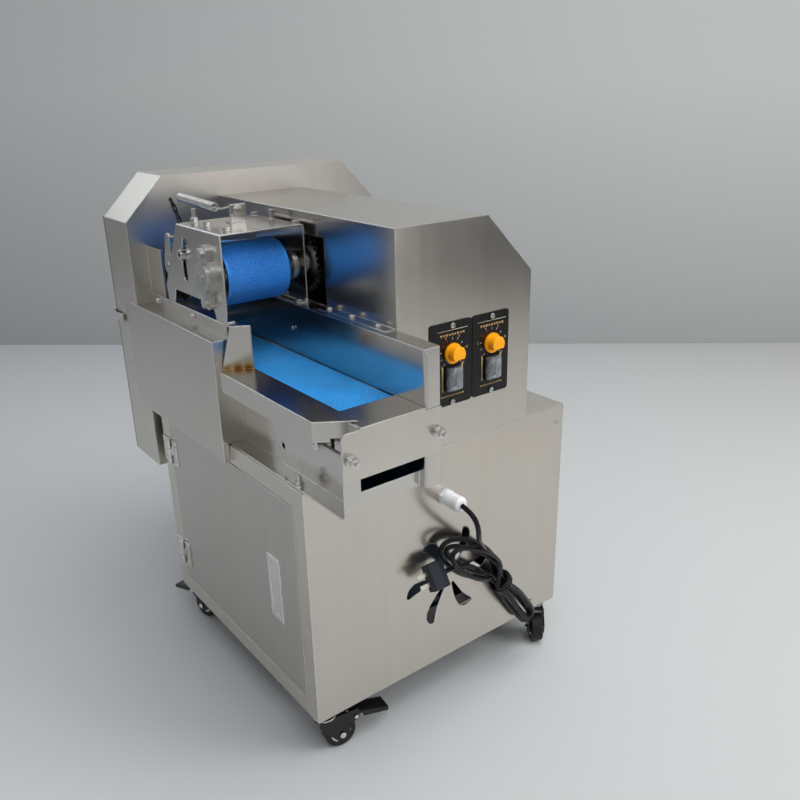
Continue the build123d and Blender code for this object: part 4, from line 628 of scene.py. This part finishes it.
def baked(thing):
    """An object's evaluated shape as a plain mesh."""
    bpy.context.view_layer.update()
    return bpy.data.meshes.new_from_object(thing.evaluated_get(bpy.context.evaluated_depsgraph_get()))


def grown(source, tree, **values):
    """The mesh that a tree makes of a source mesh, with its inputs set by name."""
    host = linked("host", source)
    work = host.modifiers.new("grow", "NODES")
    work.node_group = tree
    for entry in tree.interface.items_tree:
        if entry.in_out == "INPUT" and entry.name in values:
            work[entry.identifier] = values[entry.name]
    made = baked(host)
    host.modifiers.remove(work)
    bpy.data.objects.remove(host)
    return made


def set_out(rows):
    """Points with a facing and a size, from rows of (place, facing, size)."""
    made = bpy.data.meshes.new("points")
    made.from_pydata([place for place, _, _ in rows], [], [])
    made.attributes.new("facing", "FLOAT_VECTOR", "POINT")
    made.attributes.new("sized", "FLOAT", "POINT")
    for k, (_, out, size) in enumerate(rows):
        made.attributes["facing"].data[k].vector = out
        made.attributes["sized"].data[k].value = size
    return made


FASTEN, takes, gives = sprout("set fasteners", {"Head": "Object", "Paint": "Material"})
head = add(FASTEN, "GeometryNodeObjectInfo", {"Object": takes["Head"]})
facing = add(FASTEN, "GeometryNodeInputNamedAttribute", {"Name": "facing"}, data_type="FLOAT_VECTOR")
sized = add(FASTEN, "GeometryNodeInputNamedAttribute", {"Name": "sized"}, data_type="FLOAT")
turn = add(FASTEN, "FunctionNodeAlignRotationToVector", {"Vector": facing.outputs[0]}, axis="Z")
spots = add(FASTEN, "GeometryNodeInstanceOnPoints",
            {"Points": takes["Geometry"], "Instance": head.outputs["Geometry"], "Rotation": turn.outputs[0],
             "Scale": sized.outputs[0]})
finished(FASTEN, spots.outputs[0], takes["Paint"], gives)

SLOT_LONG, SLOT_WIDE, SLOT_LOW, SLOT_TOP = 0.52, 0.13, 0.3, 1.0
BOX = [(0, 2, 3, 1), (4, 5, 7, 6), (0, 1, 5, 4), (2, 6, 7, 3), (0, 4, 6, 2), (1, 3, 7, 5)]
cross_head = linked("cross_head", turned([(0, 0), (1, 0), (1, 0.16), (0.9, 0.36), (0.68, 0.54), (0.36, 0.66),
                                          (0, 0.7)]))
cutters = []
for a, b in ((SLOT_LONG, SLOT_WIDE), (SLOT_WIDE, SLOT_LONG)):
    corners = [(x, y, z) for z in (SLOT_LOW, SLOT_TOP) for y in (-b, b) for x in (-a, a)]
    cutters.append(linked("cutter", mesh_of(corners, BOX)))
    cut = cross_head.modifiers.new("recess", "BOOLEAN")
    cut.object, cut.operation, cut.solver = cutters[-1], "DIFFERENCE", "EXACT"
recessed = baked(cross_head)
recessed.shade_flat()
cross_head.modifiers.clear()
cross_head.data = recessed
for cutter in cutters:
    bpy.data.objects.remove(cutter)
rivet_head = linked("rivet_head", turned([(0, 0), (1, 0), (0.97, 0.2), (0.8, 0.42), (0.5, 0.56), (0.22, 0.6),
                                          (0.18, 0.5), (0, 0.5)], 18))
bead = turned([(0, 0), (1, 0), (0.94, 0.12), (0.66, 0.3), (0.3, 0.38), (0, 0.4)], 14)
for k, vertex in enumerate(bead.vertices):
    vertex.co.x *= 1.0 + 0.12 * math.sin(2.3 * k)
    vertex.co.y *= 1.0 + 0.10 * math.sin(1.7 * k + 1.0)
weld_bead = linked("weld_bead", bead)


def fasteners(name, head, paint, body, finish, rows):
    """Fastener heads of one body; rows are (point in mm, facing, radius in mm)."""
    points = set_out([(at(*spot), out, radius / 1000) for spot, out, radius in rows])
    piece(name, grown(points, FASTEN, Head=head, Paint=paint), paint, body, finish)


NEAR, LEFT, TOP = (0.0, -1.0, 0.0), (-1.0, 0.0, 0.0), (0.0, 0.0, 1.0)
PLATE_X, HINGE_Z, HINGE_HIGH = (257, 333), (59, 260), 46
HINGE_RIVETS = [z + HINGE_HIGH * part for z in HINGE_Z for part in (0.22, 0.78)]
screw_steel = moulded("zinc screw heads", (0.74, 0.74, 0.73), 0.2, skin=900.0, depth=0.1, metal=1.0, worn=0.5,
                      pale=1.25)
scorched_bead = moulded("scorched weld", (0.16, 0.075, 0.035), 0.45, skin=1400.0, depth=0.8, metal=0.6,
                        worn=0.6, pale=3.0, wide=180.0)
fasteners("cross_screws", cross_head, screw_steel, "machine", "bright_steel",
          [((x, -2.2, z), NEAR, 4.5) for x in PLATE_X for z in (441.5, 555.5)] +
          [((152, y, 568.4), TOP, 4.7) for y in (30, 92, 150)] +
          [((441, 0, 22), NEAR, 3.2), ((484, 0, 347), NEAR, 3.2)])
fasteners("rivets_machine", rivet_head, screw_steel, "machine", "bright_steel",
          [((12.6, y, 548), LEFT, 4.7) for y in (321, 455)] + [((132.6, 227, 527), LEFT, 4.4)] +
          [((-2.6, 463.75, z), LEFT, 3.2) for z in HINGE_RIVETS])
fasteners("rivets_door", rivet_head, screw_steel, "door", "bright_steel",
          [((-2.6, 429.75, z), LEFT, 3.2) for z in HINGE_RIVETS])
fasteners("weld_spots", weld_bead, scorched_bead, "machine", "stainless",
          [((x, y, WELD_HIGH - 0.1), TOP, radius) for x, y, radius in WELDS])


# Caster trim: riveted axle and pedal pin heads and a race ring on each fork, and a polished ring
# pressed into both sides of each wheel, all nickel plated.
CASTERS = (("near_left", 24, 24, -8), ("near_right", 476, 26, 236), ("far_left", 40, 436, 104),
           ("far_right", 458, 440, 150))
TRAIL, HUB_HIGH, FORK_SIDE = 22, -50, 16
AXLE_PIN, PEDAL_PIN = (TRAIL, HUB_HIGH, 5.2), (46, -26, 3.6)
nickel = worked("nickel plated trim", (0.84, 0.83, 0.81), 0.13, grain=1800.0, depth=0.08, dirt=0.08)


def ring(inner, outer, low, high, sides=32):
    """A closed ring round Z with eased outer corners, in mm."""
    ease = (high - low) * 0.3
    outline = ((inner, low), (outer, low), (outer, high - ease), (outer - ease, high), (inner + ease, high),
               (inner, high - ease), (inner, low))
    return turned([(r / 1000, z / 1000) for r, z in outline], sides)


rim, race = ring(12.4, 17.2, 7.0, 9.5), ring(16.8, 18.5, -12.6, -10.4)
for which, x, y, heading in CASTERS:
    stand = Matrix.Translation(at(x, y, 0)) @ Matrix.Rotation(math.radians(heading), 4, "Z")
    across = stand.to_3x3() @ Vector((0.0, 1.0, 0.0))
    forward = stand.to_3x3() @ Vector((1.0, 0.0, 0.0))
    spots = []
    for reach, z, radius in (AXLE_PIN, PEDAL_PIN) if which.endswith("_left") else (AXLE_PIN,):
        for side in (-1, 1):
            off = forward * reach + across * FORK_SIDE * side
            spots.append(((x + off.x, y + off.y, z), across * side, radius))
    fasteners("pins_" + which, rivet_head, nickel, "fork_" + which, "bright_steel", spots)
    piece("race_" + which, joined((race, stand)), nickel, "fork_" + which, "bright_steel")
    hub = stand @ Matrix.Translation((TRAIL / 1000, 0.0, HUB_HIGH / 1000))
    rims = [(rim, hub @ Matrix.Rotation(math.radians(90 * side), 4, "X")) for side in (-1, 1)]
    piece("rim_" + which, joined(*rims), nickel, "wheel_" + which, "bright_steel")


# Tension chain: six links of a small roller chain, black from oil, from the spring's far hook down
# to the lug of the swing arms.
LINK_R, WAIST, LINK_THICK, PIN_R, SIDES = 0.0031, 0.28, 0.0009, 0.0016, 24


def chain_link(half, long):
    """One link of two waisted plates with its pins, long axis up, plates facing +X and -X."""
    outline, parts = [], []
    for k in range(SIDES):
        a = math.tau * k / SIDES
        waist = 1.0 - WAIST * (1 - abs(math.sin(a))) ** 2
        outline.append((LINK_R * math.cos(a) * waist,
                        (long / 2 if math.sin(a) > 0 else -long / 2) + LINK_R * math.sin(a)))
    for side in (-1, 1):
        xs = (side * half - LINK_THICK / 2, side * half + LINK_THICK / 2)
        faces = [tuple(range(SIDES)), tuple(range(2 * SIDES - 1, SIDES - 1, -1))]
        faces += [(k, (k + 1) % SIDES, SIDES + (k + 1) % SIDES, SIDES + k) for k in range(SIDES)]
        parts.append(mesh_of([(x, y, z) for x in xs for y, z in outline], faces, False))
    reach, ease = half + LINK_THICK, 0.0003
    pin = turned([(0, -reach), (PIN_R - ease, -reach), (PIN_R, -reach + ease), (PIN_R, reach - ease),
                  (PIN_R - ease, reach), (0, reach)], 12)
    for z in (-long / 2, long / 2):
        parts.append((pin, Matrix.Translation((0, 0, z)) @ Matrix.Rotation(math.radians(90), 4, "Y")))
    return joined(*parts)


LINKS, SAG = 6, 8
knots = [at(46.9, 402 + 34 * k / LINKS - SAG * math.sin(math.pi * k / LINKS), 656 + 55 * k / LINKS)
         for k in range(LINKS + 1)]
chain_black = worked("tension chain black", (0.05, 0.048, 0.046), 0.3, dirt=0.5)
for name, half, start in (("tension_chain_outer", 0.0024, 0), ("tension_chain_inner", 0.0014, 1)):
    link = linked("link", chain_link(half, (knots[1] - knots[0]).length))
    points = set_out([((a + b) / 2, b - a, 1.0) for a, b in list(zip(knots, knots[1:]))[start::2]])
    piece(name, grown(points, FASTEN, Head=link, Paint=chain_black), chain_black, "press_arm", "chain_steel",
          "tension_chain")
    bpy.data.objects.remove(link)
for thing in (cross_head, rivet_head, weld_bead):
    bpy.data.objects.remove(thing)


# Belts: blue PVC bands with a skin of small diamond studs, moulded in staggered rows. Each is one
# closed band over its two rollers.
STUDS, takes, gives = sprout("studded belt", {"Columns": "Int", "Pitch": "Float", "Height": "Float",
                                              "Paint": "Material"})
half_pitch = sums(STUDS, "MULTIPLY", takes["Pitch"], 0.5)
loop = add(STUDS, "GeometryNodeMeshToCurve", {0: takes["Geometry"]}).outputs[0]
rows = add(STUDS, "GeometryNodeResampleCurve", {"Curve": loop, "Length": half_pitch}, mode="LENGTH")
dots = add(STUDS, "GeometryNodeCurveToPoints", {"Curve": rows.outputs[0]}, mode="EVALUATED")
many = add(STUDS, "GeometryNodeDuplicateElements",
           {"Geometry": dots.outputs["Points"], "Amount": takes["Columns"]}, domain="POINT")
index = add(STUDS, "GeometryNodeInputIndex").outputs[0]
row = sums(STUDS, "FLOOR", sums(STUDS, "DIVIDE", index, takes["Columns"]))
stagger = sums(STUDS, "MULTIPLY", sums(STUDS, "MODULO", row, 2.0), 0.5)
column = sums(STUDS, "SUBTRACT", sums(STUDS, "ADD", many.outputs["Duplicate Index"], stagger),
              sums(STUDS, "MULTIPLY_ADD", takes["Columns"], 0.5, -0.25))
slide = add(STUDS, "ShaderNodeCombineXYZ", {0: sums(STUDS, "MULTIPLY", column, takes["Pitch"])})
moved = add(STUDS, "GeometryNodeSetPosition", {"Geometry": many.outputs["Geometry"],
                                               "Offset": slide.outputs[0]})
outward = add(STUDS, "ShaderNodeVectorMath", {0: (1.0, 0.0, 0.0), 1: dots.outputs["Tangent"]},
              operation="CROSS_PRODUCT")
turn = add(STUDS, "FunctionNodeAlignRotationToVector", {"Vector": outward.outputs[0]}, axis="Z")
stud = add(STUDS, "GeometryNodeMeshCone", {"Vertices": 4, "Radius Top": 0.0, "Depth": takes["Height"],
                                           "Radius Bottom": half_pitch})
spots = add(STUDS, "GeometryNodeInstanceOnPoints",
            {"Points": moved.outputs[0], "Instance": stud.outputs[0], "Rotation": turn.outputs[0]})
finished(STUDS, spots.outputs[0], takes["Paint"], gives)

BELT_THICK, STUD_ROOM, STUD_SUNK, STUD_PITCH, STUD_HIGH, STUD_SPARE = 2.0, 0.95, 0.02, 4.6, 0.93, 4
EDGE_EASE, ROLLER_STEPS = 0.7, 28


def belt_line(near, far, lift):
    """Points (y, z) in mm of a belt round two rollers (y, z, radius), near and far."""
    span = math.hypot(far[0] - near[0], far[1] - near[1])
    base = math.atan2(far[1] - near[1], far[0] - near[0])
    lean = math.acos((near[2] - far[2]) / span)
    points = []
    for (cy, cz, r), start, end in ((far, base + lean, base - lean),
                                    (near, base - lean, base + lean - math.tau)):
        for k in range(ROLLER_STEPS + 1):
            a = start + (end - start) * k / ROLLER_STEPS
            points.append((cy + (r + lift) * math.cos(a), cz + (r + lift) * math.sin(a)))
    return points


def belt(name, x0, x1, near, far, body, paint, finish):
    """A closed band with its studs; the rollers are given with their inner radius."""
    skin = BELT_THICK - STUD_ROOM
    inner, outer, crest = (belt_line(near, far, lift) for lift in (0.0, skin, skin - STUD_SUNK))
    verts, faces, count = [], [], len(inner)
    for (yi, zi), (yo, zo) in zip(inner, outer):
        ym, zm = (yi + yo) / 2, (zi + zo) / 2
        verts += [at(x0 + EDGE_EASE, yo, zo), at(x1 - EDGE_EASE, yo, zo), at(x1, ym, zm), at(x1, yi, zi),
                  at(x0, yi, zi), at(x0, ym, zm)]
    for k in range(count):
        a, b = 6 * k, 6 * ((k + 1) % count)
        faces += [(a + i, a + (i + 1) % 6, b + (i + 1) % 6, b + i) for i in range(6)]
    middle = bpy.data.meshes.new("middle")
    middle.from_pydata([at((x0 + x1) / 2, y, z) for y, z in crest],
                       [(k, (k + 1) % count) for k in range(count)], [])
    studs = grown(middle, STUDS, Columns=int((x1 - x0 - STUD_SPARE) / STUD_PITCH), Pitch=STUD_PITCH / 1000,
                  Height=STUD_HIGH / 1000, Paint=paint)
    piece(name, joined(mesh_of(verts, faces), studs), paint, body, finish, name)


def blue_pvc(name, tone):
    """Blue PVC with a slight sheen, painted pale cyan on the studs' tips and edges as a highlight, and dusty
    in patches.
    """
    made, tree, face = shader(name)
    spot = here(tree)
    patch = noise(tree, spot, 14.0, 4.0)
    edge, smear = use(tree, EDGE, Radius=0.0004), use(tree, MARKS)
    base = mixed(tree, spread(tree, patch, 0.3, 0.7), shade(tone, 0.72), tone)
    # Painted highlight: the studs' tips and edges are mixed towards pale cyan.
    base = mixed(tree, sums(tree, "MULTIPLY", edge["Mask"], 0.5), base, (0.22, 0.64, 1.0))
    base = mixed(tree, sums(tree, "MULTIPLY", smear["Mask"], 0.12), base, (0.20, 0.30, 0.42))
    feed(face, {"Base Color": base, "Roughness": sums(tree, "MULTIPLY_ADD", patch, 0.16, 0.15),
                "Specular IOR Level": 0.6, "Sheen Weight": 0.12,
                "Normal": relief(tree, noise(tree, spot, 1500.0, 2.0), 0.25, 0.0002)})
    return made


belt("feed_belt", 34, 132, (-26, 453, 34.0), (444, 453, 34.0), "machine",
     blue_pvc("feed belt PVC", (0.003, 0.40, 1.0)), "belt_feed")
belt("press_belt", 26, 126, (252, 619, 42.0), (410, 612, 25.0), "press_arm",
     blue_pvc("press belt PVC", (0.005, 0.30, 1.0)), "belt_blue")


# Tension spring: close-wound bright wire with a hook at each end, between the bridge's tab and the
# chain that holds the swing arms.
COIL, takes, gives = sprout("close wound coil", {"Turns": "Float", "Radius": "Float", "Wire": "Float",
                                                 "Long": "Float", "Paint": "Material"})
helix = add(COIL, "GeometryNodeCurveSpiral",
            {"Resolution": 14, "Rotations": takes["Turns"], "Start Radius": takes["Radius"],
             "End Radius": takes["Radius"], "Height": takes["Long"]})
wire = add(COIL, "GeometryNodeCurvePrimitiveCircle", {"Resolution": 6, "Radius": takes["Wire"]})
tube = add(COIL, "GeometryNodeCurveToMesh", {"Curve": helix.outputs[0], "Profile Curve": wire.outputs[0],
                                             "Fill Caps": True})
finished(COIL, tube.outputs[0], takes["Paint"], gives)


def bent_wire(points, radius):
    """A round wire along a smooth line, as a mesh."""
    line = wire_curve("wire", points, radius, 6, 3)
    return bpy.data.meshes.new_from_object(bpy.data.objects.new("wire", line))


HOOK_R = 0.0014
spring_steel = worked("spring steel", (0.80, 0.79, 0.77), 0.17, grain=1800.0, depth=0.15, dirt=0.15)
hook_a, hook_b, tab = at(72, 328, 705), at(59.5, 425, 713), at(87, 295.5, 703.5)
aim = hook_b - hook_a
coil = grown(bpy.data.meshes.new("empty"), COIL, Turns=52.0, Radius=0.0061, Wire=0.00088, Long=aim.length,
             Paint=spring_steel)
coil_place = Matrix.Translation(hook_a) @ aim.to_track_quat("Z", "Y").to_matrix().to_4x4()
away, side = aim.normalized(), Vector((0, 0, 1)).cross(aim).normalized()
near_hook = [hook_a + away * 0.001 + side * 0.006, hook_a - away * 0.001, hook_a - away * 0.008,
             hook_a - away * 0.016]
near_hook += [tab + Vector(step) for step in ((-0.002, 0.007, 0.004), (0, 0.002, 0.005),
                                              (0.001, -0.003, 0.003), (0, -0.003, -0.002),
                                              (-0.002, 0.002, -0.004))]
far_hook = [hook_b - away * 0.001 - side * 0.006, hook_b + away * 0.001, hook_b + away * 0.005,
            hook_b + away * 0.009 + Vector((0, 0, -0.001)), hook_b + away * 0.010 + Vector((0, 0, -0.005))]
spring = joined((coil, coil_place), bent_wire(near_hook, HOOK_R), bent_wire(far_hook, HOOK_R))
piece("tension_spring", spring, spring_steel, "machine", "bright_steel", "spring")


# Control plates' print: dial ticks with two of them red, numbers round the dial, a thin line near
# the top and gold bars beside each rocker, all screen-printed; a clear cover over each rocker.
PRINT_Y, DIAL_Z, ROCKER_Z = -1.5, 515, 478
DIAL_START, DIAL_SWEEP, TICK_RING, NUMBERS_WIDE, NUMBERS_HIGH = 225, 270, 21.5, 27.5, 26.0
RED_TICKS = (3, 4)


def bar(x, z, wide, high, lean=0.0):
    """A printed bar a tenth of a millimetre thick, centre and size in mm, leaned by an angle."""
    ca, sa = math.cos(lean), math.sin(lean)
    corners = [(a * wide / 2, b * high / 2) for a, b in ((-1, -1), (1, -1), (1, 1), (-1, 1))]
    verts = [at(x + p * ca - q * sa, PRINT_Y - depth, z + p * sa + q * ca) for depth in (0.10, 0.005)
             for p, q in corners]
    faces = [(0, 1, 2, 3), (7, 6, 5, 4)] + [(k, k + 4, (k + 1) % 4 + 4, (k + 1) % 4) for k in range(4)]
    return mesh_of(verts, faces, False)


def numeral(text, x, z, high):
    """A printed number as a mesh, facing -Y."""
    letters = bpy.data.curves.new("numeral", "FONT")
    letters.body, letters.size = text, high / 1000
    letters.align_x, letters.align_y = "CENTER", "CENTER"
    letters.extrude = 0.00004
    letters.resolution_u = 2
    flat = bpy.data.meshes.new_from_object(bpy.data.objects.new("numeral", letters))
    flat.transform(Matrix.Translation(at(x, PRINT_Y - 0.05, z)) @ Matrix.Rotation(math.radians(90), 4, "X"))
    return flat


cream = moulded("cream print", (0.80, 0.74, 0.58), 0.35, skin=2000.0, depth=0.1, worn=0.1, pale=1.1)
gold = moulded("gold print", (0.72, 0.50, 0.20), 0.3, skin=2000.0, depth=0.1, metal=0.4, worn=0.2, pale=1.3)
red = moulded("red print", (0.70, 0.05, 0.03), 0.35, skin=2000.0, depth=0.1, worn=0.1, pale=1.2)
greys, golds, reds = [], [], []
for cx in PLATE_X:
    greys.append(bar(cx, 549.0, 56, 0.8))
    for k in range(11):
        angle = math.radians(DIAL_START - DIAL_SWEEP * k / 10)
        tick = bar(cx + TICK_RING * math.cos(angle), DIAL_Z + TICK_RING * math.sin(angle), 3.4, 0.9, angle)
        (reds if k in RED_TICKS else greys).append(tick)
    for k, text in enumerate(("0", "2", "4", "6", "8", "10")):
        angle = math.radians(DIAL_START - DIAL_SWEEP * k / 5)
        x, z = cx + NUMBERS_WIDE * math.cos(angle), DIAL_Z + NUMBERS_HIGH * math.sin(angle)
        golds.append(numeral(text, x, z, 5.6))
    golds += [bar(cx + side, ROCKER_Z, 2.6, 37) for side in (-18.5, 18.5)]
    golds += [bar(cx + 5.2 * k, 542.5, 3.6, 2.6 if k % 2 else 3.4) for k in range(-4, 5)]
    golds += [bar(cx + 4.1 * k, 451.5, 2.6, 2.0) for k in range(-5, 6)]
piece("print_cream", joined(*greys), cream, "machine", "panel_black")
piece("print_gold", joined(*golds), gold, "machine", "panel_black")
piece("print_red", joined(*reds), red, "machine", "panel_black")

smoke, tree, face = shader("clear switch cover")
haze = noise(tree, here(tree), 160.0)
feed(face, {"Base Color": ramp(tree, haze, (0.3, (0.62, 0.66, 0.70)), (0.7, (0.80, 0.84, 0.88))),
            "Roughness": spread(tree, haze, 0.3, 0.7, 0.05, 0.2), "Transmission Weight": 0.9, "IOR": 1.46})
COVER_WALL, CORNER_STEPS = 1.2, 5


def blister(cx, cz, wide, high, y0, y1):
    """A clear cover, open at its back, with rounded corners and a sloped rim."""
    def outline(less, r, y):
        points = []
        for qx, qz, start in ((1, 1, 0), (-1, 1, 90), (-1, -1, 180), (1, -1, 270)):
            for k in range(CORNER_STEPS):
                a = math.radians(start + 22.5 * k)
                points.append(at(cx + qx * ((wide - less) / 2 - r) + r * math.cos(a), y,
                                 cz + qz * ((high - less) / 2 - r) + r * math.sin(a)))
        return points
    verts = (outline(0.0, 3.0, y0) + outline(1.0, 2.8, y1 + 1.0) + outline(3.0, 2.0, y1) +
             outline(4.2, 1.6, y1 + COVER_WALL) + outline(1.0 + 2 * COVER_WALL, 1.6, y1 + COVER_WALL + 0.8) +
             outline(2 * COVER_WALL, 2.0, y0))
    n = 4 * CORNER_STEPS
    faces = [(i * n + k, i * n + (k + 1) % n, (i + 1) * n + (k + 1) % n, (i + 1) * n + k)
             for i in (0, 1, 3, 4) for k in range(n)]
    faces += [(5 * n + k, 5 * n + (k + 1) % n, (k + 1) % n, k) for k in range(n)]
    faces += [tuple(range(2 * n, 3 * n)), tuple(range(4 * n - 1, 3 * n - 1, -1))]
    return mesh_of(verts, faces, False)


covers = joined(*(blister(cx, ROCKER_Z, 27, 35, -3.9, -11.0) for cx in PLATE_X))
piece("switch_covers", covers, smoke, "machine", "panel_black")
